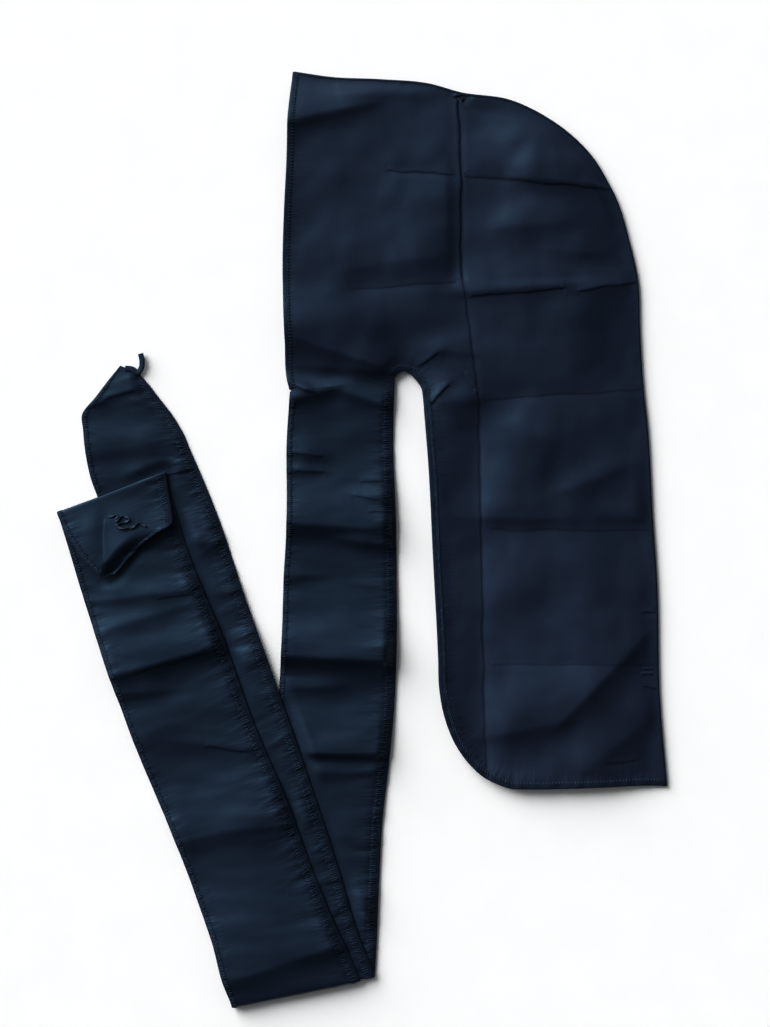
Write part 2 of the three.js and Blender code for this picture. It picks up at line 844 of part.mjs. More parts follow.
function addPiece(name, geometry, color, roughness) {
  const material = new THREE.MeshStandardMaterial({ color, roughness, metalness: 0 });
  const mesh = new THREE.Mesh(geometry, material);
  mesh.name = name;
  durag.add(mesh);
}

const satinColor = 0x1a2434;
const satinRoughness = 0.36;
const hemColor = 0x141c2a;
const hemRoughness = 0.5;
const satin = (name, geometry) => addPiece(name, geometry, satinColor, satinRoughness);
const hem = (name, geometry) => addPiece(name, geometry, hemColor, hemRoughness);

satin("far_panel", geometryOf(panelPrism(0, clothThick)));
satin("near_panel", geometryOf(nearPanel));
hem("crown_seam", carriedStrip(seamPath, hemRing(seamWidth, layerPitch + clothThick), onTable));
hem("far_front_hem", panelHemStrip(frontPath, onTable));
hem("near_front_hem", panelHemStrip(frontPath, nearSideHeight));
hem("far_tail_hem", panelHemStrip(backHemPath, onTable));
hem("near_tail_hem", panelHemStrip(backHemPath, nearSideHeight));
satin("far_tie", tieCloth(farStations));
satin("near_tie", tieCloth(nearStations));
hem("far_tie_outer_hem", tieOuterHem(farStations));
hem("far_tie_inner_hem", tieInnerHem(farStations));
hem("near_tie_outer_hem", tieOuterHem(nearStations));
hem("near_tie_inner_hem", tieInnerHem(nearStations));
hem("near_tie_hem_end", nearHemEnd());
hem("far_tie_hem_end", farHemEnd());

const box = new THREE.Box3().setFromObject(durag);
const middle = box.getCenter(new THREE.Vector3());
durag.position.set(-middle.x, -middle.y, -box.min.z);

export default durag;
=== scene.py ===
# %% [markdown]
# # A satin durag, folded in half and laid flat
# The real thing is two mirrored panels of thin navy satin, sewn together along the crown and the
# back of the head, with a long tie at each side. Here it lies folded along that seam. Both ties
# run down together, fold up to the left at the bottom, and the far tie's end is turned over.
# The solids in the frame already have the sizes and the layers. Every piece below is a surface
# worked out on a grid of two parameters, so that each fold, pucker and stitch is a term in a
# formula and can be moved by changing one row of a table.

# %% Load the frame
import math

import bmesh
import bpy
import numpy as np
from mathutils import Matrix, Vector


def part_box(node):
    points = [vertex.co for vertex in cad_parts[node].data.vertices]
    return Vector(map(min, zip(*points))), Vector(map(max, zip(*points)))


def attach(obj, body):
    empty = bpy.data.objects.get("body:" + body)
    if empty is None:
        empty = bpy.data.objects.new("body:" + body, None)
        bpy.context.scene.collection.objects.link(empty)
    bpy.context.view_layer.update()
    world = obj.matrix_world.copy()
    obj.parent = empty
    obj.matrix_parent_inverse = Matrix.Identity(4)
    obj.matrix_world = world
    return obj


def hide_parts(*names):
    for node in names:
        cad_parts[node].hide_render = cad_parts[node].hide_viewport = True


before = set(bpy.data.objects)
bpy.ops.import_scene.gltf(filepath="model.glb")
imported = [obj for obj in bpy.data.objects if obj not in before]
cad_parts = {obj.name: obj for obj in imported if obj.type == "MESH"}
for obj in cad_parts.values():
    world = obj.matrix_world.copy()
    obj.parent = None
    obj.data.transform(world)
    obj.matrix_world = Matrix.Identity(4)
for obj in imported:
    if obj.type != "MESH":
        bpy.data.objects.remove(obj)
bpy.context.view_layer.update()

print("solids in the frame:", len(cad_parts))

# %% [markdown]
# ## Sizes
# The drawing is kept in millimetres, with its zero at the lower end of the cap's front edge,
# where the ties begin: x runs towards the nape and y towards the crown. These are the sizes that
# the solids were made from. The crown seam is the one solid whose box touches two known points,
# the upper front corner and the lower end of the tail, so it says where the drawing's zero lies.

# %% Driving sizes, in millimetres
MM = 0.001
rest_gap = 0.05
cap_height = 240.0
tail_width = 165.0
tail_length = 295.0
notch_width = 22.0
tie_width = 80.0
tie_drop = 450.0
near_rise = 484.0
far_rise = 402.0
flap_length = 63.0
near_lean = 16.9
far_lean = 20.2
flap_lean = 180.0

layer_pitch = 2.2
seam_width = 4.0
panel_hem = 5.0
outer_hem = 4.0
inner_hem = 7.0
hem_thick = 1.15
cloth_thick = 0.5

cap_depth = tie_width + notch_width + tail_width
tail_front = cap_depth - tail_width
tail_flare = 0.105
seam_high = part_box("crown_seam")[1]
zero = np.array(
    [
        seam_high.x - MM * (cap_depth + tail_flare * tail_width),
        seam_high.y - MM * cap_height,
        0.0,
    ]
)
print("drawing zero, metres:", zero.round(4))

# %% [markdown]
# ## Outline
# Short tables give the outline as shares of the sizes above. A smooth curve goes through each:
# between two points it is a cubic whose slopes follow the neighbouring points, which is what a
# soft edge does when it is laid down by hand.

# %% Outline tables and smooth paths
front_table = [
    [0.006, 0.0],
    [-0.003, 0.04],
    [-0.008, 0.16],
    [-0.014, 0.41],
    [-0.011, 0.54],
    [-0.003, 0.73],
    [0.0, 0.85],
    [0.014, 1.0],
]
crown_table = [
    [0.014, 1.0],
    [0.118, 0.984],
    [0.258, 0.977],
    [0.399, 0.963],
    [0.483, 0.937],
    [0.626, 0.912],
    [0.739, 0.85],
    [0.812, 0.787],
    [0.862, 0.725],
    [0.896, 0.662],
    [0.924, 0.6],
    [0.958, 0.475],
    [0.983, 0.35],
    [0.989, 0.19],
    [1.0, 0.0],
]
back_table = [
    [0.014, 0.071],
    [0.041, 0.325],
    [0.059, 0.478],
    [0.073, 0.783],
    [tail_flare, 1.0],
]
lower_table = [
    [tail_flare, 1.0],
    [-0.018, 1.0],
    [-0.2, 1.004],
    [-0.382, 1.007],
    [-0.55, 1.008],
    [-0.614, 1.006],
    [-0.66, 0.997],
    [-0.727, 0.979],
]
tail_front_table = [
    [0.209, 0.947],
    [0.144, 0.897],
    [0.1, 0.84],
    [0.068, 0.75],
    [0.064, 0.681],
    [0.041, 0.427],
    [0.018, 0.173],
    [0.0, 0.05],
]
notch_table = [
    [0.97, -0.27],
    [0.9, 0.14],
    [0.69, 0.44],
    [0.49, 0.63],
    [0.284, 0.7],
    [0.114, 0.63],
    [0.0, 0.44],
]


def through(knots, values, at):
    """A smooth curve through values at knots: on each stretch the cubic whose slope at a knot is
    the slope of the parabola through that knot and its two neighbours."""
    slopes = np.gradient(values, knots, axis=0)
    i = np.clip(np.searchsorted(knots, at, side="right") - 1, 0, len(knots) - 2)
    span = (knots[i + 1] - knots[i])[:, None]
    t = (at[:, None] - knots[i][:, None]) / span
    start = values[i] * (2 * t**3 - 3 * t**2 + 1) + slopes[i] * span * (t**3 - 2 * t**2 + t)
    end = values[i + 1] * (3 * t**2 - 2 * t**3) + slopes[i + 1] * span * (t**3 - t**2)
    return start + end


def run_lengths(path):
    """Distance travelled along a path at each of its points."""
    steps = np.linalg.norm(np.diff(path, axis=0), axis=1)
    return np.concatenate([[0.0], np.cumsum(steps)])


def smooth_path(points, step=1.0):
    """The smooth curve through a list of points, as even steps of about the given length."""
    points = np.asarray(points, float)
    knots = run_lengths(points)
    return through(knots, points, np.linspace(0, knots[-1], int(knots[-1] / step) + 2))


def spaced(path, shares):
    """Points of a path at the given shares of its length."""
    along = run_lengths(path)
    at = np.asarray(shares) * along[-1]
    return np.stack([np.interp(at, along, path[:, k]) for k in range(path.shape[1])], axis=1)


def placed(table, x_zero, x_size, y_size):
    """A table of shares as points of the drawing."""
    return np.array([x_zero, 0.0]) + np.array(table) * (x_size, y_size)


front = smooth_path(placed(front_table, 0, cap_depth, cap_height))
crown_points = placed(crown_table, 0, cap_depth, cap_height)
back_points = placed(back_table, cap_depth, tail_width, -tail_length)
seam = smooth_path(np.vstack([crown_points, back_points]))
lower_points = placed(lower_table, cap_depth, tail_width, -tail_length)
tail_front_points = placed(tail_front_table, tail_front, tail_width, -tail_length)
notch_points = placed(notch_table, tie_width, notch_width, notch_width)
back_hem = smooth_path(np.vstack([lower_points, tail_front_points, notch_points]))
join = np.array([notch_points[-1], front[0]])

# %% [markdown]
# ## Plane geometry
# Three measures do most of the shaping: how far a point is from a path, how far along that path
# it lies, and whether it is inside a region. Each works on whole arrays of points.


# %% Distances, regions and soft steps
def path_place(points, path):
    """Distance from each point to the nearest spot of a path, and how far along that spot is. A
    step of no length counts as a very short one, so that nothing is divided by zero."""
    steps = np.diff(path, axis=0)
    offset = points[..., None, :] - path[:-1]
    squares = np.maximum((steps**2).sum(-1), 1e-9)
    share = np.clip((offset * steps).sum(-1) / squares, 0, 1)
    away = np.linalg.norm(offset - share[..., None] * steps, axis=-1)
    nearest = away.argmin(-1)[..., None]
    along = run_lengths(path)[:-1] + share * np.linalg.norm(steps, axis=1)
    distance = np.take_along_axis(away, nearest, -1)[..., 0]
    return distance, np.take_along_axis(along, nearest, -1)[..., 0]


thinning = 6
long_path = 60


def distance_to(points, path):
    """Distance from each point to a path. A long path is thinned first to one point in six."""
    if len(path) > long_path:
        path = np.vstack([path[:-1:thinning], path[-1:]])
    return path_place(points, path)[0]


def inside(points, region):
    """True where a line drawn to the right crosses the region's rim an odd number of times."""
    x0, y0 = region[:, 0], region[:, 1]
    x1, y1 = np.roll(x0, -1), np.roll(y0, -1)
    x, y = points[..., 0, None], points[..., 1, None]
    crosses = (y0 > y) != (y1 > y)
    rise = np.where(y1 == y0, 1.0, y1 - y0)
    return (crosses & (x < (x1 - x0) * (y - y0) / rise + x0)).sum(-1) % 2 == 1


def soft_step(value, low, high):
    """0 below low, 1 above high, and the cubic 3t^2 - 2t^3 between."""
    t = np.clip((value - low) / (high - low), 0, 1)
    return t * t * (3 - 2 * t)


def cover(points, region, margin, reach):
    """1 on a region and within a margin of it, falling to 0 as half a cosine over the reach."""
    away = path_place(points, np.vstack([region, region[:1]]))[0]
    away = np.where(inside(points, region), 0, np.maximum(away - margin, 0))
    return 0.5 + 0.5 * np.cos(np.pi * np.clip(away / reach, 0, 1))


def offset_path(path, distance):
    """Each point moved to the right of the way the path runs."""
    heading = np.gradient(path, axis=0)
    heading /= np.linalg.norm(heading, axis=1)[:, None]
    return path + distance * np.stack([heading[:, 1], -heading[:, 0]], axis=1)


middle_front = front[len(front) // 2]
print("middle of the front edge to the seam, mm:", distance_to(middle_front, seam).round(1))

# %% [markdown]
# ## Folds, ripples and puckers
# A fold in laid satin is a ridge with one steep side and one gentle side, and it dies out past
# its ends. A ripple is the faint unevenness that all laid cloth has. A pucker is a short furrow
# that starts at a gathered seam and runs inwards. All three are heights that add up.


# %% Relief formulas
steep_power = 1.3
gentle_power = 2.0
narrowest = 0.45


def folds(points, table):
    """Sum of ridges. Columns: x and y of the left end, x and y of the right end, height, reach
    above the line, reach below it, and fade. Across the line a ridge is exp(-(distance / reach)^2)
    above and the steeper exp(-(distance / reach)^1.3) below. Towards each end it gets lower and
    narrower, from full at one fade inside the end to nothing at one fade past it."""
    total = np.zeros(points.shape[:-1])
    for x1, y1, x2, y2, height, above, below, fade in table:
        along = np.array([x2 - x1, y2 - y1])
        length = np.linalg.norm(along)
        along = along / length
        offset = points - (x1, y1)
        travelled = offset @ along
        left = soft_step(travelled, -fade, fade)
        taper = left * soft_step(length - travelled, -fade, fade)
        side = offset @ (along[1], -along[0])
        reach = np.where(side > 0, below, above) * (narrowest + (1 - narrowest) * taper)
        power = np.where(side > 0, steep_power, gentle_power)
        total += height * taper * np.exp(-((np.abs(side) / reach) ** power))
    return total


slope_count = 4096


def noise(points, seed, cell):
    """Gradient noise: each corner of a square lattice has a random slope, and between corners
    the four sloping planes are mixed by the cubic 3t^2 - 2t^3. The corner's column and row pick
    its slope from a list, by two primes that keep neighbours apart."""
    slopes = np.random.default_rng(seed).uniform(0, 2 * np.pi, slope_count)
    place = points / cell
    corner = np.floor(place).astype(int)
    part = place - corner
    mix = part * part * (3 - 2 * part)
    total = np.zeros(points.shape[:-1])
    for dx in (0, 1):
        for dy in (0, 1):
            pick = (corner[..., 0] + dx) * 71 + (corner[..., 1] + dy) * 523
            turn = slopes[pick % slope_count]
            plane = np.cos(turn) * (part[..., 0] - dx) + np.sin(turn) * (part[..., 1] - dy)
            share_x = mix[..., 0] if dx else 1 - mix[..., 0]
            share_y = mix[..., 1] if dy else 1 - mix[..., 1]
            total += plane * share_x * share_y
    return total


def ripples(points, seed, wave, height):
    """Noise with a cell of half a wave, plus noise with a cell of a fifth of a wave and a sixth
    of its height."""
    return height * (noise(points, seed, wave / 2) + noise(points, seed + 100, wave / 5) / 6)


# Ranges that each furrow draws from, as shares of the pitch, the depth, the width and the reach.
# Two furrows in three are hollows and the third is a rib.
spot_range = (0.1, 0.9)
depth_range = (0.35, 1.0)
signs = [-1.0, -1.0, 1.0]
width_range = (0.6, 1.5)
slant_range = (-0.35, 0.35)
reach_range = (0.4, 1.3)


def puckers(along, inward, seed, pitch, depth, reach, width):
    """Sum of furrows that start at an edge. Each has a random place along it, width, slant and
    length, is a bell across and fades out inwards. along and inward are distances."""
    draw = np.random.default_rng(seed)
    count = max(int(np.ptp(along) / pitch), 1)
    start = along.min() + (np.arange(count) + draw.uniform(*spot_range, count)) * pitch
    size = depth * draw.uniform(*depth_range, count) * draw.choice(signs, count)
    wide = width * draw.uniform(*width_range, count)
    slant = draw.uniform(*slant_range, count)
    length = reach * draw.uniform(*reach_range, count)
    total = np.zeros(along.shape)
    for k in range(count):
        bell = np.exp(-(((along - start[k] - slant[k] * inward) / wide[k]) ** 2))
        total += size[k] * bell * np.exp(-((inward / length[k]) ** 2))
    return total


lone_fold = [[0.0, 0.0, 40.0, 0.0, 3.0, 10.0, 4.0, 8.0]]
print("a 3 mm fold, 4 mm down its steep side:", folds(np.array([20.0, -4.0]), lone_fold).round(2))

# %% [markdown]
# ## Crisp creases
# A packing crease is a line less than a millimetre wide, finer than the cells of the cloth's grid.
# Every corner of the grid therefore stores how far it is from the nearest crease, and on which
# side. That number runs evenly across a cell, so the material can draw the crease exactly.


# %% Crease distances
no_crease = 99.0
crease_fall = 3.5
# How far the line of a crease wanders, slowly and quickly: seed, cell, height.
crease_wander = [[8, 24.0, 1.6], [9, 9.0, 0.8]]


def crease_marks(points, table):
    """For each point the signed distance to the nearest crease and that crease's depth. Columns:
    x1, y1, x2, y2, depth, fade. Past an end the depth falls as exp(-(distance / fade)^2), and
    away from the line as exp(-(distance / crease_fall)^2). A little noise keeps the line from
    being ruled."""
    marks = np.zeros((*points.shape[:-1], 3))
    marks[..., 0] = no_crease
    wander = sum(height * noise(points, seed, cell) for seed, cell, height in crease_wander)
    nearest = np.full(points.shape[:-1], no_crease)
    for x1, y1, x2, y2, depth, fade in table:
        along = np.array([x2 - x1, y2 - y1])
        length = np.linalg.norm(along)
        along = along / length
        offset = points - (x1, y1)
        travelled = offset @ along
        beyond = np.maximum(0, np.maximum(-travelled, travelled - length))
        side = offset @ (-along[1], along[0]) + wander
        score = np.abs(side) + 2 * beyond
        closer = score < nearest
        nearest = np.where(closer, score, nearest)
        strength = depth * np.exp(-((beyond / fade) ** 2) - (score / crease_fall) ** 2)
        marks[closer] = np.stack([side, strength, 0 * side], axis=-1)[closer]
    return marks


print("creases wander up to about, mm:", sum(height for _, _, height in crease_wander))

# %% [markdown]
# ## Meshes
# A grid of points becomes a mesh with one square face for each cell. A strip whose section is a
# closed ring, such as a hem, joins its last column to its first and gets a face at each end.
# Cloth gets its thickness from a Solidify modifier, half to each side.


# %% Grid meshes
def grid_faces(rows, columns, ring=False):
    """Corner numbers of each cell of a grid, row by row."""
    across = columns if ring else columns - 1
    i, j = np.meshgrid(np.arange(rows - 1), np.arange(across), indexing="ij")
    i, j = i.ravel(), j.ravel()
    after = (j + 1) % columns
    return np.stack(
        [i * columns + j, (i + 1) * columns + j, (i + 1) * columns + after, i * columns + after],
        axis=1,
    )


def make_piece(name, points, faces, uv=None, extra_faces=(), marks=None):
    """A mesh object from points in drawing millimetres, with smooth faces, and if given a map and
    crease marks."""
    mesh = bpy.data.meshes.new(name)
    metres = np.asarray(points).reshape(-1, 3) * MM + zero
    mesh.from_pydata(metres.tolist(), [], faces.tolist() + [list(f) for f in extra_faces])
    mesh.polygons.foreach_set("use_smooth", np.ones(len(mesh.polygons), bool))
    if uv is not None:
        corners = np.zeros(len(mesh.loops), np.int32)
        mesh.loops.foreach_get("vertex_index", corners)
        layer = mesh.uv_layers.new(name="cloth")
        layer.data.foreach_set("uv", (uv.reshape(-1, 2)[corners] * MM).astype(np.float32).ravel())
    for attribute, values in (marks or {}).items():
        stored = mesh.attributes.new(attribute, "FLOAT_VECTOR", "POINT")
        stored.data.foreach_set("vector", values.astype(np.float32).ravel())
    mesh.update()
    piece = bpy.data.objects.new(name, mesh)
    bpy.context.scene.collection.objects.link(piece)
    return piece


def face_outwards(piece):
    """Turns the faces of a closed mesh to point out of it."""
    shell = bmesh.new()
    shell.from_mesh(piece.data)
    bmesh.ops.recalc_face_normals(shell, faces=shell.faces)
    shell.to_mesh(piece.data)
    shell.free()


def thicken(piece, thickness=cloth_thick):
    """Gives a sheet its thickness, half to each side. The rim's edges, which belong to one face
    only, are marked sharp, so that the sheet's own shading runs on to the rim unchanged."""
    mesh = piece.data
    corner_edges = np.zeros(len(mesh.loops), np.int32)
    mesh.loops.foreach_get("edge_index", corner_edges)
    faces_at_edge = np.bincount(corner_edges, minlength=len(mesh.edges))
    mesh.edges.foreach_set("use_edge_sharp", faces_at_edge == 1)
    wall = piece.modifiers.new("cloth thickness", "SOLIDIFY")
    wall.thickness = thickness * MM
    wall.offset = 0.0


def ring_piece(name, points, uv=None):
    """A closed strip from rings of points, one ring for each row, with both ends closed."""
    rows, columns = points.shape[:2]
    ends = [range(columns), range((rows - 1) * columns, rows * columns)]
    piece = make_piece(name, points, grid_faces(rows, columns, ring=True), uv, ends)
    face_outwards(piece)
    return piece


print("cells of a 3 by 4 grid:", len(grid_faces(3, 4)))

# %% [markdown]
# ## Relief of the near side
# The near side is lifted by air between the two layers, so it is puffed in the middle and pinned
# down along the seam, while its open edges stand a few millimetres off the far side. It also
# keeps the creases of its packing: one upright crease and five level ones. Between creases the
# cloth stands up a little, as pillows.

# %% Near side: tables in millimetres of the drawing
cap_puff = 6.0
mouth_lift = 5.0
tail_puff = 3.0
puff_reach = 60.0
hem_reach = 40.0
hem_hold = 1.1
crease_depth = 1.5
crease_reach = 14.0

upright_crease = np.array([[127.6, 224.9], [130.6, 81.8], [142.6, -5.9], [147.7, -287.0]])
# Each is a line through two or three points, given as x and y, from left to right.
level_creases = [
    np.array([[76.0, 165.0], [127.6, 161.3], [238.0, 151.5]]),
    np.array([[50.0, 76.5], [130.6, 81.8], [262.0, 87.7]]),
    np.array([[142.6, -5.9], [265.0, 1.5]]),
    np.array([[144.4, -103.0], [276.0, -104.0]]),
    np.array([[146.2, -202.4], [274.0, -204.6]]),
]
creases = [upright_crease] + level_creases

# Columns: x1, y1, x2, y2, depth, fade. Level ones run to the right and upright ones upwards, so
# that the lower or right side of each is the side that drops.
near_side_creases = [
    [130.5, 84.0, 127.5, 218.0, 0.5, 3.0],
    [142.5, -6.0, 130.5, 84.0, 0.28, 3.0],
    [147.8, -285.0, 142.5, -6.0, 0.26, 3.0],
    [76.0, 165.0, 124.0, 161.8, 0.3, 3.5],
    [132.0, 161.2, 176.0, 157.0, 0.25, 3.0],
    [176.0, 157.0, 244.0, 151.0, 0.4, 7.0],
    [50.0, 76.5, 125.0, 81.4, 0.15, 4.0],
    [136.0, 70.8, 206.0, 76.5, 0.4, 3.5],
    [218.0, 75.0, 262.0, 82.0, 0.35, 6.0],
    [150.0, -5.5, 266.0, 1.5, 0.16, 4.0],
    [152.0, -103.0, 276.0, -104.0, 0.13, 4.0],
    [154.0, -204.0, 276.0, -204.7, 0.12, 4.0],
    [126.0, 221.0, 137.0, 222.5, 1.0, 2.0],
    [131.0, 217.0, 136.0, 225.0, 0.8, 2.0],
    [238.0, -277.5, 260.0, -276.5, 0.2, 8.0],
    [267.0, -165.0, 274.0, -165.5, 0.35, 4.0],
    [266.0, -208.0, 274.0, -207.5, 0.35, 4.0],
    [265.0, -212.0, 273.0, -211.0, 0.35, 4.0],
    [267.0, -221.0, 276.0, -222.0, 0.3, 4.0],
    [106.0, -11.0, 120.0, 4.5, 0.5, 5.0],
    [99.0, 19.5, 112.0, 28.0, 0.4, 5.0],
    [133.0, 13.0, 141.0, 1.0, 0.4, 4.0],
    [2.0, 5.5, 18.0, -1.0, 0.5, 4.0],
]
near_drop_creases = [
    [5.0, -46.0, 26.0, -49.0, 0.3, 6.0],
    [7.0, -60.0, 26.0, -60.6, 0.3, 6.0],
    [56.0, -67.0, 70.0, -67.0, 0.2, 6.0],
    [50.0, -78.5, 72.0, -82.0, 0.25, 8.0],
    [62.0, -90.5, 71.0, -90.0, 0.2, 4.0],
]

# Columns: x1, y1, x2, y2, height, reach above, reach below, fade.
near_side_folds = [
    [46.0, 229.0, 106.0, 226.0, 3.2, 12.0, 8.0, 18.0],
    [-14.0, 198.0, 58.0, 214.5, 6.0, 24.0, 8.0, 18.0],
    [118.5, 90.0, 118.5, 160.0, 1.6, 16.0, 6.0, 20.0],
    [172.0, 160.0, 256.0, 153.0, 4.4, 22.0, 7.0, 14.0],
    [46.0, 92.0, 116.0, 102.0, 3.4, 30.0, 15.0, 22.0],
    [202.0, 160.0, 196.0, 206.0, 3.4, 30.0, 18.0, 16.0],
    [155.0, 122.0, 206.0, 127.0, 2.4, 20.0, 10.0, 22.0],
    [196.0, 106.0, 232.0, 103.0, 2.2, 16.0, 8.0, 16.0],
    [130.0, 74.0, 210.0, 80.0, 3.8, 18.0, 6.0, 18.0],
    [216.0, 75.5, 276.0, 84.0, 2.2, 12.0, 5.0, 14.0],
    [-26.0, 50.0, 72.0, 18.0, 8.0, 28.0, 9.0, 22.0],
    [16.0, 19.5, 80.0, 14.5, 3.4, 14.0, 5.5, 18.0],
    [101.0, -12.0, 122.0, 7.0, 1.9, 14.0, 3.6, 9.0],
    [94.0, 17.0, 116.0, 31.5, 1.5, 16.0, 3.4, 9.0],
    [112.0, 31.0, 140.0, 28.0, 1.6, 14.0, 4.5, 12.0],
    [104.0, -9.0, 146.0, -6.0, 2.2, 11.0, 8.0, 12.0],
    [150.0, -258.0, 204.0, -247.0, 4.0, 30.0, 9.0, 18.0],
    [204.0, -247.0, 266.0, -184.0, 6.0, 40.0, 10.0, 18.0],
    [220.0, -284.0, 280.0, -238.0, 3.0, 22.0, 12.0, 16.0],
    [147.5, -292.0, 142.0, -10.0, -2.4, 26.0, 12.0, 20.0],
    [160.0, -28.0, 208.0, -40.0, 3.0, 18.0, 34.0, 20.0],
    [204.0, -75.0, 248.0, -58.0, 2.4, 16.0, 9.0, 18.0],
    [138.0, -94.0, 206.0, -95.0, 2.6, 24.0, 7.0, 22.0],
    [238.0, -93.0, 282.0, -95.0, 2.2, 18.0, 6.0, 16.0],
]
near_drop_folds = [
    [-5.0, 9.0, 17.0, 0.5, 3.0, 5.0, 3.0, 7.0],
    [-8.0, -9.0, 34.5, 2.5, 5.4, 11.0, 6.5, 14.0],
    [34.5, 2.5, 86.0, -15.0, 5.4, 11.0, 6.5, 14.0],
    [-20.0, -42.0, 24.0, -49.0, 3.4, 14.0, 4.6, 14.0],
    [-20.0, -58.0, 24.0, -60.0, 2.6, 8.0, 3.0, 14.0],
    [58.0, -66.0, 90.0, -66.0, 1.8, 7.0, 3.4, 14.0],
    [50.0, -77.0, 92.0, -81.0, 2.2, 9.0, 4.6, 18.0],
    [-16.0, -98.0, 92.0, -103.5, 9.0, 28.0, 9.0, 12.0],
    [44.0, -111.0, 90.0, -118.0, 4.6, 7.0, 5.0, 16.0],
    [-20.0, -139.5, 18.0, -138.0, 2.2, 8.0, 5.0, 18.0],
    [54.0, -144.0, 96.0, -148.0, 2.4, 9.0, 4.6, 20.0],
    [-16.0, -197.0, 92.0, -202.0, 11.5, 30.0, 8.0, 10.0],
    [-12.0, -222.0, 36.0, -221.0, 2.6, 8.0, 6.0, 16.0],
    [-4.0, -270.0, 92.0, -271.5, 7.5, 26.0, 3.4, 10.0],
    [6.0, -284.0, 76.0, -285.5, 2.8, 9.0, 8.0, 14.0],
    [34.0, -330.0, 66.0, -336.0, 2.0, 16.0, 10.0, 14.0],
    [38.0, -389.0, 70.0, -395.0, 4.0, 24.0, 10.0, 14.0],
]
# The near tie is cut in one with the near panel, so their folds cross the join.
near_layer_folds = near_side_folds + near_drop_folds
near_layer_creases = near_side_creases + near_drop_creases
join_reach = 22.0
edge_flat = 1.5
edge_free = 14.0

# Columns: seed, wave, height.
near_side_ripples = [[3, 84.0, 3.4], [4, 26.0, 0.16]]
# Columns: seed, pitch, depth, reach, width.
tail_hem_puckers = [11, 7.0, 0.5, 9.0, 1.8]
front_hem_puckers = [12, 9.0, 0.4, 8.0, 2.2]
seam_puckers = [13, 12.0, 0.25, 8.0, 2.0]


def near_side_height(points):
    """Height of the near side's middle: one layer up along its edges, plus puff and pillows
    between the creases. Both come down to nothing at the seam and the join. At the tail's free
    hem they are hem_hold times as high as further in, because nothing pins that edge."""
    pinned = (
        soft_step(distance_to(points, seam), 0, puff_reach)
        * (hem_hold + (1 - hem_hold) * soft_step(distance_to(points, back_hem), 0, hem_reach))
        * soft_step(distance_to(points, join), 0, puff_reach)
    )
    at_front = soft_step(distance_to(points, front), 0, puff_reach)
    in_cap = soft_step(points[..., 1], -puff_reach, puff_reach)
    mouth = mouth_lift + (cap_puff - mouth_lift) * at_front
    puff = tail_puff + (mouth - tail_puff) * in_cap
    pillow = np.full(points.shape[:-1], crease_depth)
    for crease in creases:
        pillow *= 1 - np.exp(-distance_to(points, crease) / crease_reach)
    return layer_pitch + cloth_thick / 2 + (puff + pillow) * pinned


def near_side_detail(points):
    """Folds, ripples and puckers of the near side, which reach closer to its edges. At the join
    the folds run on into the tie, so nothing holds them down there."""
    off_join = soft_step(distance_to(points, join), 0, join_reach)
    to_edge = np.minimum(distance_to(points, seam), distance_to(points, back_hem))
    at_edge = 1 - off_join * (1 - soft_step(to_edge, edge_flat, edge_free))
    to_hem, along_hem = path_place(points, back_hem[::thinning])
    to_front, along_front = path_place(points, front[::thinning])
    to_seam, along_seam = path_place(points, seam[::thinning])
    relief = folds(points, near_layer_folds) * at_edge
    for row in near_side_ripples:
        relief += ripples(points, *row) * at_edge * off_join
    relief += puckers(along_hem, to_hem, *tail_hem_puckers) * off_join
    relief += puckers(along_front, to_front, *front_hem_puckers) * off_join
    relief += puckers(along_seam, to_seam, *seam_puckers)
    return relief


print("near layer: folds", len(near_layer_folds), "creases", len(near_layer_creases))

# %% [markdown]
# ## The two panels
# A panel's outline is a cap, a tail and a small root where the tie is sewn on. Each is a patch
# between four boundary curves. The patch is the one that Coons described: the surface ruled
# between top and bottom, plus the surface ruled between left and right, less the one ruled
# between the four corners. The three patches share their edges, so they are welded into one
# sheet. A grid of squares cut to the outline would have a ragged edge instead.


# %% Panel sheets
def coons(top, bottom, left, right, u, v):
    """Ruled across plus ruled down minus the bilinear patch of the corners."""
    u, v = u[None, :, None], v[:, None, None]
    down = (1 - v) * top[None] + v * bottom[None]
    across = (1 - u) * left[:, None] + u * right[:, None]
    high = (1 - u) * top[0] + u * top[-1]
    low = (1 - u) * bottom[0] + u * bottom[-1]
    return down + across - ((1 - v) * high + v * low)


# The sheet stops this far inside the outline, in the middle of the hems and the seam. It is cut
# in three at the top of the notch, and the cap's back corner is the seventh row after the first
# of its table.
edge_inset = 1.2
notch_top_row = 4
corner_row = 7
root_row_count = 7
split_height = notch_table[notch_top_row][1] * notch_width


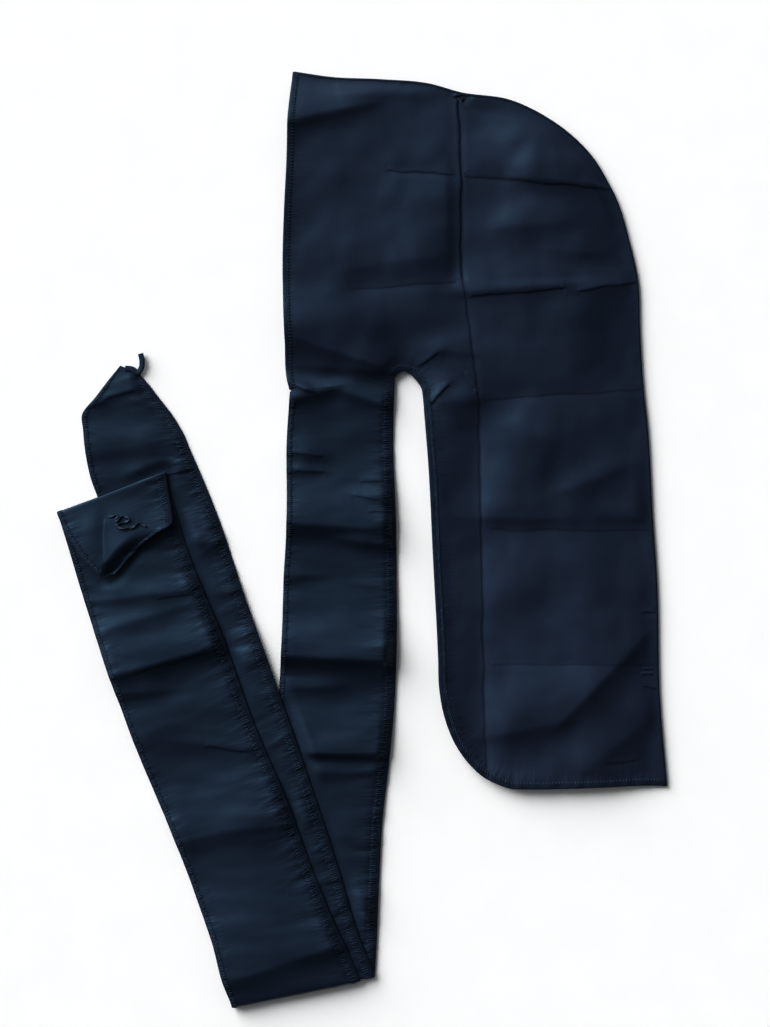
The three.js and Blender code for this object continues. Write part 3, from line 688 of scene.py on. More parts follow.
def panel_sheet(step):
    """Plane points and faces of a whole panel, at about the given spacing."""
    front_edge = offset_path(front, edge_inset)
    seam_edge = offset_path(seam, edge_inset)
    hem_edge = offset_path(back_hem, edge_inset)
    front_split = np.searchsorted(front_edge[:, 1], split_height + edge_inset)
    corner = np.linalg.norm(seam_edge - crown_points[corner_row], axis=1).argmin()
    seam_split = np.nonzero(seam_edge[:, 1] < split_height + edge_inset)[0][0]
    low_corner = np.linalg.norm(hem_edge - tail_front_points[0], axis=1).argmin()
    notch_top = len(hem_edge) // 2 + hem_edge[len(hem_edge) // 2 :, 1].argmax()

    west, middle, east = front_edge[front_split], hem_edge[notch_top], seam_edge[seam_split]
    root_columns = np.linspace(0, 1, int(np.ptp([west[0], middle[0]]) / step) + 1)
    tail_columns = np.linspace(0, 1, int(np.ptp([middle[0], east[0]]) / step) + 1)
    root_line = west + root_columns[:, None] * (middle - west)
    tail_line = middle + tail_columns[:, None] * (east - middle)
    cap_line = np.vstack([root_line, tail_line[1:]])
    cap_columns = run_lengths(cap_line) / run_lengths(cap_line)[-1]

    cap_rows = np.linspace(0, 1, int((cap_height - split_height) / step) + 1)
    tail_rows = np.linspace(0, 1, int((tail_length + split_height) / step) + 1)
    root_rows = np.linspace(0, 1, root_row_count)
    cap = coons(
        spaced(seam_edge[: corner + 1], cap_columns),
        cap_line,
        spaced(front_edge[front_split:][::-1], cap_rows),
        spaced(seam_edge[corner : seam_split + 1], cap_rows),
        cap_columns,
        cap_rows,
    )
    tail = coons(
        tail_line,
        spaced(hem_edge[: low_corner + 1][::-1], tail_columns),
        spaced(hem_edge[low_corner : notch_top + 1][::-1], tail_rows),
        spaced(seam_edge[seam_split:], tail_rows),
        tail_columns,
        tail_rows,
    )
    join_edge = spaced(join[::-1], [edge_inset / tie_width, 1 - edge_inset / tie_width])
    root = coons(
        root_line,
        spaced(join_edge, root_columns),
        spaced(np.vstack([front_edge[front_split:0:-1], join_edge[:1]]), root_rows),
        spaced(np.vstack([hem_edge[notch_top:-1], join_edge[1:]]), root_rows),
        root_columns,
        root_rows,
    )
    points, faces = [], []
    for patch in (cap, tail, root):
        faces.append(grid_faces(*patch.shape[:2]) + sum(len(p) for p in points))
        points.append(patch.reshape(-1, 2))
    points = np.vstack(points)
    welded = np.unique(points.round(3), axis=0, return_index=True, return_inverse=True)
    first, number = welded[1:]
    return points[first], number.ravel()[np.vstack(faces)]


tail_hem_gathering = 0.45
front_hem_gathering = 0.3


def panel_gathers(points):
    """Inward distance, distance along and strength of the gathering at the nearest hem."""
    to_hem, along_hem = path_place(points, back_hem[::thinning])
    to_front, along_front = path_place(points, front[::thinning])
    at_hem = np.stack([to_hem, along_hem, np.full_like(to_hem, tail_hem_gathering)], axis=-1)
    at_front = np.stack(
        [to_front, along_front, np.full_like(to_front, front_hem_gathering)], axis=-1
    )
    return np.where((to_hem < to_front)[:, None], at_hem, at_front)


near_cell = 1.75
far_cell = 5.0
# The far side only has a low ripple, because the table holds it flat: seed, wave, height.
far_side_ripple = [5, 60.0, 0.2]
floor_gap = 0.1

near_plane, near_faces = panel_sheet(near_cell)
near_height = near_side_height(near_plane) + near_side_detail(near_plane)
near_side = make_piece(
    "near_side_cloth",
    np.column_stack([near_plane, near_height]),
    near_faces,
    near_plane,
    marks={
        "crease": crease_marks(near_plane, near_layer_creases),
        "gather": panel_gathers(near_plane),
    },
)
thicken(near_side)

far_plane, far_faces = panel_sheet(far_cell)
far_relief = np.maximum(ripples(far_plane, *far_side_ripple), 0)
far_height = cloth_thick / 2 + floor_gap + far_relief
far_side = make_piece(
    "far_side_cloth", np.column_stack([far_plane, far_height]), far_faces, far_plane
)
thicken(far_side)
print("near side faces:", len(near_faces), "far side faces:", len(far_faces))

# %% [markdown]
# ## Crown seam
# The two panels are sewn right sides together and turned, so the seam shows as a rolled edge with
# a fine groove where the stitches pull it in. Its section is a half round, with the groove as a
# small bell taken out of the radius, and it is carried along the crown, the back and the tail.

# %% Rolled seam
# Millimetres, but for the groove, whose depth is a share of the radius and whose width is an
# angle in radians.
roll_radius = 1.45
roll_points = 13
groove_depth = 0.3
groove_width = 0.24
shoulder_inward = 2.6
shoulder_rise = 2.6
inner_rise = 1.9
seam_step = 1.6


def carried(path, inward, height, base):
    """Rings along a path: each ring point lies a distance inwards, at a height over the base.
    The map of such a strip is the distance inwards and the distance along."""
    rings = np.stack([offset_path(path, d) for d in inward], axis=1)
    inward = np.broadcast_to(inward, rings.shape[:2])
    along = np.broadcast_to(run_lengths(path)[:, None], rings.shape[:2])
    return np.dstack([rings, base(rings) + height]), np.dstack([inward, along])


def on_floor(points):
    """The floor's height, which is nothing, under each point."""
    return np.zeros(points.shape[:-1])


# The section starts at the seam's inner edge, climbs a shoulder, goes over and round the roll and
# comes back in along the floor.
turn = np.linspace(np.pi / 2, -np.pi / 2, roll_points)
roll = roll_radius * (1 - groove_depth * np.exp(-((turn / groove_width) ** 2)))
roll_inward = roll_radius - roll * np.cos(turn)
roll_heights = roll_radius + rest_gap + roll * np.sin(turn)
seam_inward = np.concatenate([[seam_width, shoulder_inward], roll_inward, [seam_width]])
seam_heights = np.concatenate([[inner_rise, shoulder_rise], roll_heights, [floor_gap]])
seam_rings, seam_map = carried(
    smooth_path(seam, seam_step), seam_inward, seam_heights, on_floor
)
seam_edge_piece = ring_piece("crown_seam_edge", seam_rings, seam_map)
print("seam length, mm:", run_lengths(seam)[-1].round(1))

# %% [markdown]
# ## Hems of the panels
# A hem is the cloth's own edge turned under and sewn down, so it is a soft flat band, thicker
# than the cloth and round at its rim. Its section is a flattened oval, sin raised to a power
# under one for flat faces, carried along the edge on the same relief as the cloth beside it.

# %% Panel hem bands
oval_points = 16
oval_power = 0.6
hem_step = 1.5
oval = np.linspace(0, 2 * np.pi, oval_points, endpoint=False)
oval_inward = (1 - np.cos(oval)) / 2
oval_height = np.sign(np.sin(oval)) * np.abs(np.sin(oval)) ** oval_power / 2


def near_base(points):
    """The near side's middle under the same points, with its relief."""
    return near_side_height(points) + near_side_detail(points)


def panel_hem_band(name, path, base):
    """A flattened oval carried along an edge, its ends tucked into what it meets."""
    short = smooth_path(path, hem_step)[1:-1]
    rings, band_map = carried(short, oval_inward * panel_hem, oval_height * hem_thick, base)
    return ring_piece(name, rings, band_map)


def far_base(points):
    """The middle of a hem that lies on the floor."""
    return np.full(points.shape[:-1], hem_thick / 2 + rest_gap)


hem_bands = {
    "far_front_hem": panel_hem_band("far_front_hem_band", front, far_base),
    "near_front_hem": panel_hem_band("near_front_hem_band", front, near_base),
    "far_tail_hem": panel_hem_band("far_tail_hem_band", back_hem, far_base),
    "near_tail_hem": panel_hem_band("near_tail_hem_band", back_hem, near_base),
}
print("hem bands:", list(hem_bands))

# %% [markdown]
# ## How the ties lie
# Each tie is one long strap. A table gives its left and right edge, or its middle, width and
# tilt, at a few places. The far tie runs down first, then the near tie on it, then the near tie
# comes back up, then the far tie over it, and last the far tie's end is turned down. So there are
# five runs, and the height of a run is one layer for every run that lies beneath it.

# %% Strap tables
# Columns: down, share of tie_drop; left and right edge, shares of tie_width.
far_drop_table = [
    [0.08, -0.01, 0.95],
    [0.213, 0.03, 0.985],
    [0.413, 0.02, 0.99],
    [0.513, -0.05, 0.965],
    [0.613, -0.14, 0.915],
    [0.713, -0.23, 0.845],
    [0.813, -0.32, 0.785],
    [0.913, -0.42, 0.72],
]
near_drop_table = [
    [0.08, -0.01, 0.985],
    [0.213, -0.01, 1.012],
    [0.313, -0.04, 1.018],
    [0.413, -0.055, 1.02],
    [0.513, -0.09, 1.0],
    [0.613, -0.14, 0.95],
    [0.713, -0.19, 0.885],
    [0.813, -0.23, 0.855],
    [0.913, -0.27, 0.832],
]
# Columns: along, share of the length; aside and width, shares of tie_width; tilt, degrees.
near_rise_table = [
    [0.0, 0.0, 1.11, 9.2],
    [0.068, -0.037, 1.11, 15.7],
    [0.155, -0.029, 1.1, 18.9],
    [0.334, -0.048, 1.09, 19.0],
    [0.47, -0.067, 1.06, 19.0],
    [0.602, -0.09, 1.02, 19.3],
    [0.732, -0.105, 1.005, 19.6],
    [0.806, -0.132, 0.99, 14.8],
    [0.863, -0.155, 0.97, 10.0],
    [0.909, -0.138, 0.92, 0.0],
    [0.934, -0.14, 0.84, -0.6],
    [0.96, -0.093, 0.58, 0.0],
    [0.983, -0.042, 0.357, -4.5],
    [1.0, 0.0, 0.18, -21.0],
]
far_rise_table = [
    [0.0, 0.0, 1.225, 11.5],
    [0.054, 0.0, 1.21, 12.4],
    [0.13, 0.0, 1.14, 14.0],
    [0.189, -0.005, 1.118, 20.1],
    [0.348, -0.009, 1.118, 20.1],
    [0.51, -0.049, 1.118, 20.1],
    [0.669, -0.049, 1.127, 19.9],
    [0.828, -0.053, 1.074, 21.0],
    [0.944, -0.02, 1.07, 20.5],
    [1.0, 0.0, 1.087, 21.2],
]
flap_table = [
    [0.0, 0.0, 1.087, 21.2],
    [0.226, 0.05, 1.04, 18.9],
    [0.4, 0.094, 0.99, 15.5],
    [0.53, 0.122, 0.925, 13.5],
    [0.655, 0.089, 0.726, 19.6],
    [0.79, 0.042, 0.475, 22.0],
    [1.0, -0.014, 0.13, 17.0],
]
near_foot = np.array([0.27 * tie_width, -0.991 * tie_drop])
far_foot = np.array([0.08 * tie_width, -1.004 * tie_drop])


def leaning_rows(table, foot, length, lean):
    """Left and right ends of the rows across a strap that leans away from its foot."""
    along, aside, width, tilt = np.array(table).T
    lean, tilt = np.radians(lean), np.radians(tilt)
    axis = np.array([-np.sin(lean), np.cos(lean)])
    side = np.array([abs(axis[1]), -axis[0]])
    middle = foot + along[:, None] * length * axis + aside[:, None] * tie_width * side
    half = np.stack([np.cos(tilt), np.sin(tilt)], axis=1) * (width * tie_width / 2)[:, None]
    return np.stack([middle - half, middle + half], axis=1)


def dropping_rows(table, fold_row):
    """Rows of a straight run, from the join to the bottom fold."""
    down, left, right = np.array(table).T
    edges = [np.stack([x * tie_width, -down * tie_drop], axis=1) for x in (left, right)]
    start = np.array([front[0], notch_points[-1]])
    return np.concatenate([start[None], np.stack(edges, axis=1), fold_row[None]])


def out_of_fold(row, sense):
    """Unit direction out of a fold, square to its row: sense 1 is down and -1 is up."""
    across = (row[1] - row[0]) / np.linalg.norm(row[1] - row[0])
    return np.array([across[1], -across[0]]) * sense


bend_spring = 1.6


def bend_row(row, sense, layers_apart):
    """The outermost line of a bend, moved in to the middle of its arc. The arc is as high as the
    layers between its two runs and a little more, because satin springs open."""
    return row - out_of_fold(row, sense) * (layers_apart * layer_pitch + bend_spring) / 2


near_rise_rows = leaning_rows(near_rise_table, near_foot, near_rise, near_lean)
far_rise_rows = leaning_rows(far_rise_table, far_foot, far_rise, far_lean)
flap_rows = leaning_rows(flap_table, far_rise_rows[-1].mean(0), flap_length, flap_lean)
near_rise_rows[0] = bend_row(near_rise_rows[0], 1, layers_apart=1)
far_rise_rows[0] = bend_row(far_rise_rows[0], 1, layers_apart=3)
flap_rows[0] = far_rise_rows[-1] = bend_row(far_rise_rows[-1], -1, layers_apart=1)
far_drop_rows = dropping_rows(far_drop_table, far_rise_rows[0])
near_drop_rows = dropping_rows(near_drop_table, near_rise_rows[0])
print("rows of the near tie's runs:", len(near_drop_rows), len(near_rise_rows))


# %% Fine stations along each run
def fine_rows(rows, step=1.6):
    """Rows at even steps along a run, on smooth curves through the table's left and right ends."""
    knots = run_lengths(rows.mean(1))
    at = np.linspace(0, knots[-1], int(knots[-1] / step) + 2)
    return through(knots, rows.reshape(len(rows), 4), at).reshape(-1, 2, 2)


# Columns: x1, y1, x2, y2, height, reach above, reach below, fade.
near_rise_folds = [
    [-150.0, -10.0, -104.0, 6.5, 2.2, 13.0, 5.0, 10.0],
    [-150.0, -48.0, -92.0, -36.0, 2.4, 22.0, 10.0, 18.0],
    [-118.0, -67.0, -56.0, -53.0, 2.8, 18.0, 4.0, 14.0],
    [-82.0, -114.0, -28.0, -108.5, 3.4, 24.0, 8.0, 16.0],
    [-74.0, -153.0, -26.0, -147.0, 2.6, 12.0, 8.0, 14.0],
    [-60.0, -207.5, -8.0, -198.0, 2.6, 12.0, 8.0, 14.0],
    [-32.0, -318.0, 16.0, -320.0, 3.8, 16.0, 6.0, 12.0],
]
far_rise_folds = [
    [-142.0, -157.0, -56.0, -145.5, 3.4, 16.0, 6.0, 18.0],
    [-142.0, -180.0, -84.0, -162.0, 2.6, 14.0, 8.0, 18.0],
    [-140.0, -215.0, -40.0, -186.5, 9.0, 32.0, 8.0, 14.0],
    [-142.0, -227.0, -92.0, -223.5, 3.6, 12.0, 6.0, 16.0],
    [-126.0, -262.0, -24.0, -227.0, 3.4, 28.0, 16.0, 26.0],
    [-78.0, -262.0, -12.0, -268.5, 2.6, 14.0, 5.0, 24.0],
    [-90.0, -338.5, 26.0, -310.5, 5.5, 30.0, 13.0, 18.0],
    [-70.0, -449.0, 60.0, -406.0, 6.0, 44.0, 11.0, 16.0],
]
turned_end_folds = [
    [-136.5, -128.0, -136.5, -90.0, -1.4, 7.0, 12.0, 8.0],
    [-150.0, -104.0, -110.0, -88.0, 1.2, 12.0, 8.0, 12.0],
]
# Columns: x1, y1, x2, y2, depth, fade.
near_rise_creases = [
    [-136.0, -6.5, -116.0, 0.5, 0.3, 7.0],
    [-102.0, -65.5, -72.0, -58.5, 0.35, 7.0],
    [-20.0, -322.5, 4.0, -324.0, 0.3, 7.0],
]
far_rise_creases = [
    [-96.0, -155.5, -68.0, -151.5, 0.25, 8.0],
    [-116.0, -211.0, -64.0, -196.0, 0.25, 10.0],
    [-60.0, -266.0, -32.0, -269.0, 0.3, 8.0],
]
turned_end_creases = [
    [-136.5, -122.0, -136.5, -96.0, -0.15, 8.0],
]
far_drop, near_drop, near_return, far_return, turned_end = range(5)
runs = (far_drop_rows, near_drop_rows, near_rise_rows, far_rise_rows, flap_rows)
run_rows = [fine_rows(rows) for rows in runs]
run_folds = [[], near_layer_folds, near_rise_folds, far_rise_folds, turned_end_folds]
run_creases = [[], near_layer_creases, near_rise_creases, far_rise_creases, turned_end_creases]
run_regions = [
    np.vstack([r[::thinning, 0], r[-1:, 0], r[::-thinning, 1], r[:1, 1]]) for r in run_rows
]
drape_reach = 60.0
press_reach = 11.0
join_height = layer_pitch + cloth_thick / 2
# Pairs are for the left edge and the right edge. The right one is the inner, heavier hem, so it
# droops more and holds the folds down more.
edge_droop = (0.1, 1.3)
droop_reach = 12.0
edge_hold = (0.03, 0.75)
hold_reach = 10.0
# Ripples of a run are longer across it than along it: seed of the first run, wave, height.
run_seed = 20
run_wave = 30.0
run_ripple = 1.3
ripple_stretch = (0.4, 1.0)
# The turned end: how high its tip springs, what share of that its left edge has, how far its
# right edge curls down, and over which shares of its length it lifts and curls.
flap_lift = 10.0
flap_left_lift = 0.6
flap_curl = 8.0
curl_reach = 12.0
lift_span = (0.0, 0.8)
curl_span = (0.4, 0.7)
flap_fold_rate = 3
# Height of a strap's middle where nothing lies beneath it.
strap_base = 0.8


def run_height(level, points):
    """Middle height of a run: a layer for each run below, falling to the floor beyond that run's
    edge, plus its own folds where no later run presses them flat."""
    height = np.full(points.shape[:-1], strap_base)
    for below in run_regions[:level]:
        height += layer_pitch * cover(points, below, layer_pitch, drape_reach)
    relief = folds(points, run_folds[level])
    off_join = soft_step(distance_to(points, join), 0, join_reach)
    stretched = points * ripple_stretch
    relief += ripples(stretched, run_seed + level, run_wave, run_ripple) * off_join
    for above in run_regions[level + 1 :]:
        relief *= 1 - cover(points, above, 0.0, press_reach)
    if level > far_drop:
        for edge in (0, 1):
            to_edge = distance_to(points, run_rows[level][::thinning, edge])
            height -= edge_droop[edge] * (1 - soft_step(to_edge, 0, droop_reach))
            held = edge_hold[edge] * off_join
            relief *= 1 - held * (1 - soft_step(to_edge, 0, hold_reach))
    if level == near_drop:
        height = join_height + (height - join_height) * off_join
    return height + relief


print("stations:", [len(r) for r in run_rows])

# %% [markdown]
# ## The straps as surfaces
# A strap is a surface of two parameters: the station along it, and the share across it. On a run
# its height is the run's. In a fold it goes round half a circle between the run below and the
# run above. Cloth, hems and stitches all ask the same surface where they lie, so they fit.

# %% Strap surface
bend_steps = 11
# The lowest that the middle of a strap may lie, so that its hems stay off the floor.
lowest_middle = 0.62
# Columns: seed added to the strap's own, pitch, depth, reach, width.
outer_puckers = [0, 6.0, 0.45, 9.0, 1.5]
inner_puckers = [[1, 5.0, 0.8, 14.0, 1.7], [2, 16.0, 0.9, 26.0, 3.0]]
# Share of the puckers' depth that each hem keeps, and how far in they reach their full depth.
outer_hem_keeps = (0.4, 5.0)
inner_hem_keeps = (0.3, 6.0)


def strap_stations(stretches, seed):
    """Joins runs and bends into one list of stations, held as arrays: both ends of each row, the
    runs below and above it, its angle round a bend and the way that bend faces."""
    parts = []
    for kind, *facts in stretches:
        if kind == "run":
            level = facts[0]
            rows = run_rows[level][1 if parts else 0 :]
            extra = np.tile([level, -1.0, 0.0, 0.0, 0.0], (len(rows), 1))
        else:
            low, high, sense = facts
            row = run_rows[low][-1]
            angle = np.linspace(-np.pi / 2, np.pi / 2, bend_steps + 2)[1:-1]
            rows = np.repeat(row[None], bend_steps, axis=0)
            extra = np.tile([low, high, 0.0, *out_of_fold(row, sense)], (bend_steps, 1))
            extra[:, 2] = angle
        parts.append(np.hstack([rows.reshape(-1, 4), extra]))
    table = np.vstack(parts)
    strap = {
        "ends": table[:, :4].reshape(-1, 2, 2),
        "low": table[:, 4].astype(int),
        "high": table[:, 5].astype(int),
        "angle": table[:, 6],
        "outward": table[:, 7:],
        "seed": seed,
    }
    strap["width"] = np.linalg.norm(strap["ends"][:, 1] - strap["ends"][:, 0], axis=1)
    middle = base_surface(strap, np.full((len(table), 1), 0.5))[:, 0]
    strap["along"] = run_lengths(middle)
    edges = base_surface(strap, np.tile([0.05, 0.95], (len(table), 1)))
    normal = np.cross(np.gradient(middle, axis=0), edges[:, 1] - edges[:, 0])
    strap["normal"] = normal / np.linalg.norm(normal, axis=1)[:, None]
    return strap


def level_height(level, points, share):
    """Height of a run, or of the turned end, which springs up from its fold and curls down again
    along its right edge."""
    if level < turned_end:
        return run_height(level, points)
    length = np.clip((far_rise_rows[-1, :, 1].mean() - points[..., 1]) / flap_length, 0, 1)
    tilt = flap_left_lift + (1 - flap_left_lift) * share
    lift = flap_lift * soft_step(length, *lift_span) * tilt
    to_edge = distance_to(points, run_rows[turned_end][:, 1])
    curl = 1 - soft_step(to_edge, 0, curl_reach)
    lift -= flap_curl * curl * soft_step(length, *curl_span)
    lift += folds(points, turned_end_folds) * np.minimum(1, flap_fold_rate * length)
    return run_height(far_return, points) + layer_pitch + lift


def base_surface(strap, share):
    """Points of the strap before puckers: on a run the run's height, in a bend a half circle."""
    ends = strap["ends"]
    plane = ends[:, None, 0] + share[..., None] * (ends[:, None, 1] - ends[:, None, 0])
    height = np.zeros(share.shape)
    for level in np.unique(strap["low"]):
        at = (strap["low"] == level) & (strap["high"] < 0)
        height[at] = level_height(level, plane[at], share[at])
        bent = (strap["low"] == level) & (strap["high"] >= 0)
        if bent.any():
            high_level = strap["high"][bent][0]
            low = level_height(level, plane[bent], share[bent])
            high = level_height(high_level, plane[bent], share[bent])
            radius = (high - low) / 2
            angle = strap["angle"][bent][:, None]
            reach = (radius * np.cos(angle))[..., None]
            plane[bent] += strap["outward"][bent][:, None] * reach
            height[bent] = low + radius * (1 + np.sin(angle))
    return np.dstack([plane, height])


def strap_surface(strap, share):
    """The base surface, moved along its normal by the puckers of both edges."""
    along = np.broadcast_to(strap["along"][:, None], share.shape)
    width = strap["width"][:, None]
    relief = np.zeros(share.shape)
    for inward, tables, (kept, reach) in (
        (share * width, [outer_puckers], outer_hem_keeps),
        ((1 - share) * width, inner_puckers, inner_hem_keeps),
    ):
        gathered = sum(puckers(along, inward, strap["seed"] + t[0], *t[1:]) for t in tables)
        relief += gathered * (kept + (1 - kept) * soft_step(inward, 0, reach))
    relief *= soft_step(along, 0, join_reach)
    points = base_surface(strap, share) + strap["normal"][:, None] * relief[..., None]
    points[..., 2] = np.maximum(points[..., 2], lowest_middle)
    return points


near_strap = strap_stations(
    [("run", near_drop), ("bend", near_drop, near_return, 1), ("run", near_return)], seed=40
)
far_strap = strap_stations(
    [
        ("run", far_drop),
        ("bend", far_drop, far_return, 1),
        ("run", far_return),
        ("bend", far_return, turned_end, -1),
        ("run", turned_end),
    ],
    seed=50,
)
for side, strap in (("near", near_strap), ("far", far_strap)):
    print(side, "tie length along its folds, mm:", strap["along"][-1].round())


# %% Strap cloth and hem bands
strap_columns = 46
edge_crowding = 0.1
# Strength of the gathering beside each hem.
outer_gathering = 0.3
inner_gathering = 1.0
# Where a strap is narrower than these shares of the tie's width, its hems are narrower, its
# gathers weaker and its hems thinner.
narrow_hems_below = 0.5
weak_gathers_below = 0.8
thin_hems_below = 0.3
# Share of its thickness that a hem has at the join, and the lowest that a hem's skin may lie.
join_thickness = 0.2
hem_lowest = 0.02


def hem_shares(strap, width):
    """The share across that a hem takes, narrower where the strap narrows to its tip."""
    across = strap["width"]
    return (width / across) * np.minimum(1, across / (narrow_hems_below * tie_width))


def strap_cloth(name, strap):
    """The sheet between the two hems, which runs to the middle of each hem's band. Its columns
    are even ones shifted by a sine wave, which crowds them towards both edges."""
    first = hem_shares(strap, outer_hem) * 0.5
    last = 1 - hem_shares(strap, inner_hem) * 0.5
    even = np.linspace(0, 1, strap_columns)
    graded = even - edge_crowding * np.sin(2 * np.pi * even) / (2 * np.pi)
    share = first[:, None] + graded * (last - first)[:, None]
    points = strap_surface(strap, share)
    across = share * strap["width"][:, None]
    along = np.broadcast_to(strap["along"][:, None], share.shape)
    crease = np.zeros(points.shape) + [no_crease, 0.0, 0.0]
    for level, table in enumerate(run_creases):
        at = (strap["low"] == level) & (strap["high"] < 0)
        crease[at] = crease_marks(points[at][..., :2], table)
    to_inner = strap["width"][:, None] - across
    strength = np.where(to_inner < across, inner_gathering, outer_gathering)
    at_tip = np.minimum(1, strap["width"] / (weak_gathers_below * tie_width))
    strength = strength * at_tip[:, None] ** 2
    gather = np.dstack([np.minimum(across, to_inner), along, strength])
    cloth_map = np.dstack([across, along])
    marks = {"crease": crease, "gather": gather}
    piece = make_piece(name, points, grid_faces(*share.shape), cloth_map, marks=marks)
    thicken(piece)
    return piece


def strap_hem(name, strap, width, right):
    """A flattened oval along one edge of the strap, thinner at the tip and where it leaves the
    panel."""
    share = hem_shares(strap, width)[:, None] * oval_inward
    share = 1 - share if right else share
    points = strap_surface(strap, share)
    thin = np.minimum(1, strap["width"] / (thin_hems_below * tie_width))
    off_join = soft_step(strap["along"], 0, join_reach / 2)
    thin = thin * (join_thickness + (1 - join_thickness) * off_join)
    lift = oval_height * hem_thick * thin[:, None]
    points = points + strap["normal"][:, None] * lift[..., None]
    points[..., 2] = np.maximum(points[..., 2], hem_lowest)
    along = np.broadcast_to(strap["along"][:, None], share.shape)
    inward = np.broadcast_to(oval_inward * width, share.shape)
    return ring_piece(name, points, np.dstack([inward, along]))


near_tie = strap_cloth("near_tie_cloth", near_strap)
far_tie = strap_cloth("far_tie_cloth", far_strap)
for side, strap in (("near", near_strap), ("far", far_strap)):
    outer_name, inner_name = side + "_tie_outer_hem", side + "_tie_inner_hem"
    hem_bands[outer_name] = strap_hem(outer_name + "_band", strap, outer_hem, False)
    hem_bands[inner_name] = strap_hem(inner_name + "_band", strap, inner_hem, True)
print("tie faces:", len(near_tie.data.polygons), len(far_tie.data.polygons))

# %% [markdown]
# ## Stitches
# Each stitch is a short thread, round in section and pointed at both ends. One is made as a ring
# of six sides at four places along its length, and whole rows are made at once: every stitch has
# a middle, a direction and an upward side, and its points are the small one's, turned by those.

# %% Rows of stitches
thread_radius = 0.25
side_count = 6
stitch_sides = np.linspace(0, 2 * np.pi, side_count, endpoint=False)
# Columns: place along the thread, share of its length; radius, share of thread_radius.
stitch_rings = np.array([[-0.5, 0.25], [-0.32, 1.0], [0.32, 1.0], [0.5, 0.25]])
ring_count = len(stitch_rings)
# Usual slant of a thread, how much slants and places vary, and the range of its length.
thread_slant = 0.12
slant_spread = 0.06
place_spread = 0.12
length_range = (0.8, 1.1)


def stitch_piece(name, middle, direction, up, length):
    """One mesh of short threads. A point of a thread is its middle, plus its direction times the
    place along it, plus the cosine and the sine of its side times the radius, sideways and up."""
    direction = direction / np.linalg.norm(direction, axis=1)[:, None]
    middle = np.column_stack([middle[:, :2], np.maximum(middle[:, 2], 2 * thread_radius)])
    side = np.cross(direction, up)
    side /= np.linalg.norm(side, axis=1)[:, None]
    lift = np.cross(side, direction)
    place = np.repeat(stitch_rings[:, 0], side_count)
    wide = (stitch_rings[:, 1, None] * np.cos(stitch_sides)).ravel() * thread_radius
    tall = (stitch_rings[:, 1, None] * np.sin(stitch_sides)).ravel() * thread_radius
    size = np.broadcast_to(length, len(middle))[:, None]
    points = (
        middle[:, None]
        + direction[:, None] * (place * size)[..., None]
        + side[:, None] * wide[None, :, None]
        + lift[:, None] * tall[None, :, None]
    )
    tube = grid_faces(ring_count, side_count, ring=True)
    start = np.arange(len(middle)) * ring_count * side_count
    faces = (tube[None] + start[:, None, None]).reshape(-1, 4)
    first_ring = start[:, None] + np.arange(side_count)
    caps = np.vstack([first_ring, first_ring + (ring_count - 1) * side_count])
    piece = make_piece(name, points, faces, extra_faces=caps.tolist())
    face_outwards(piece)
    return piece


def zigzag(line_in, line_out, normal, above, seed):
    """Threads across a band, from its inner line to its outer line, leaning to and fro."""
    draw = np.random.default_rng(seed)
    count = len(line_in)
    across = line_out - line_in
    along = np.gradient(line_in, axis=0)
    along /= np.linalg.norm(along, axis=1)[:, None]
    to_and_fro = np.where(np.arange(count) % 2, 1.0, -1.0)
    lean = thread_slant * to_and_fro + draw.normal(0, slant_spread, count)
    size = np.linalg.norm(across, axis=1)
    direction = across + along * (lean * size)[:, None]
    middle = (line_in + line_out) / 2 + normal * above
    middle += along * draw.normal(0, place_spread, count)[:, None]
    return middle, direction, normal, size * draw.uniform(*length_range, count)


# Pitch, the shares of the path where the row starts and ends, and how far in from the outline
# the outer and inner ends of the threads lie.
panel_pitch = 2.4
panel_ends = (0.01, 0.985)
panel_thread_lines = (3.1, 5.6)
panel_seed = 60


def panel_stitches(name, path):
    """Overlock threads along a hem of the near side."""
    count = int(run_lengths(path)[-1] / panel_pitch)
    places = np.linspace(*panel_ends, count)
    lines = []
    for inward in panel_thread_lines:
        line = spaced(offset_path(path, inward), places)
        lines.append(np.column_stack([line, near_base(line)]))
    up = np.tile([0.0, 0.0, 1.0], (count, 1))
    threads = zigzag(*lines[::-1], up, hem_thick / 2 + rest_gap, panel_seed)
    return stitch_piece(name, *threads)


# Pitch, the bare length at each end, and where the threads' outer and inner ends lie as shares
# of the hem's width.
strap_pitch = 2.1
strap_end_gap = 8.0
strap_thread_shares = [0.3, 1.15]
strap_thread_gap = 0.02


def strap_stitches(name, strap, width, right, seed):
    """Threads along one edge of a strap, on both of its sides."""
    shares = hem_shares(strap, width)[:, None] * strap_thread_shares
    shares = 1 - shares if right else shares
    even = np.arange(strap_end_gap, strap["along"][-1] - strap_end_gap, strap_pitch)
    picks = np.abs(strap["along"][:, None] - even).argmin(axis=0)
    lines = strap_surface(strap, shares)[picks]
    normal = strap["normal"][picks]
    above = hem_thick / 2 + strap_thread_gap
    sides = [
        zigzag(lines[:, 1], lines[:, 0], normal * sign, above, seed + sign) for sign in (1, -1)
    ]
    return stitch_piece(name, *[np.concatenate(pair) for pair in zip(*sides)])


stitching = [
    panel_stitches("near_front_stitches", front),
    panel_stitches("near_tail_stitches", back_hem),
    strap_stitches("near_tie_outer_stitches", near_strap, outer_hem, False, 71),
    strap_stitches("near_tie_inner_stitches", near_strap, inner_hem, True, 74),
    strap_stitches("far_tie_outer_stitches", far_strap, outer_hem, False, 77),
    strap_stitches("far_tie_inner_stitches", far_strap, inner_hem, True, 80),
]
print("stitch faces:", sum(len(s.data.polygons) for s in stitching))

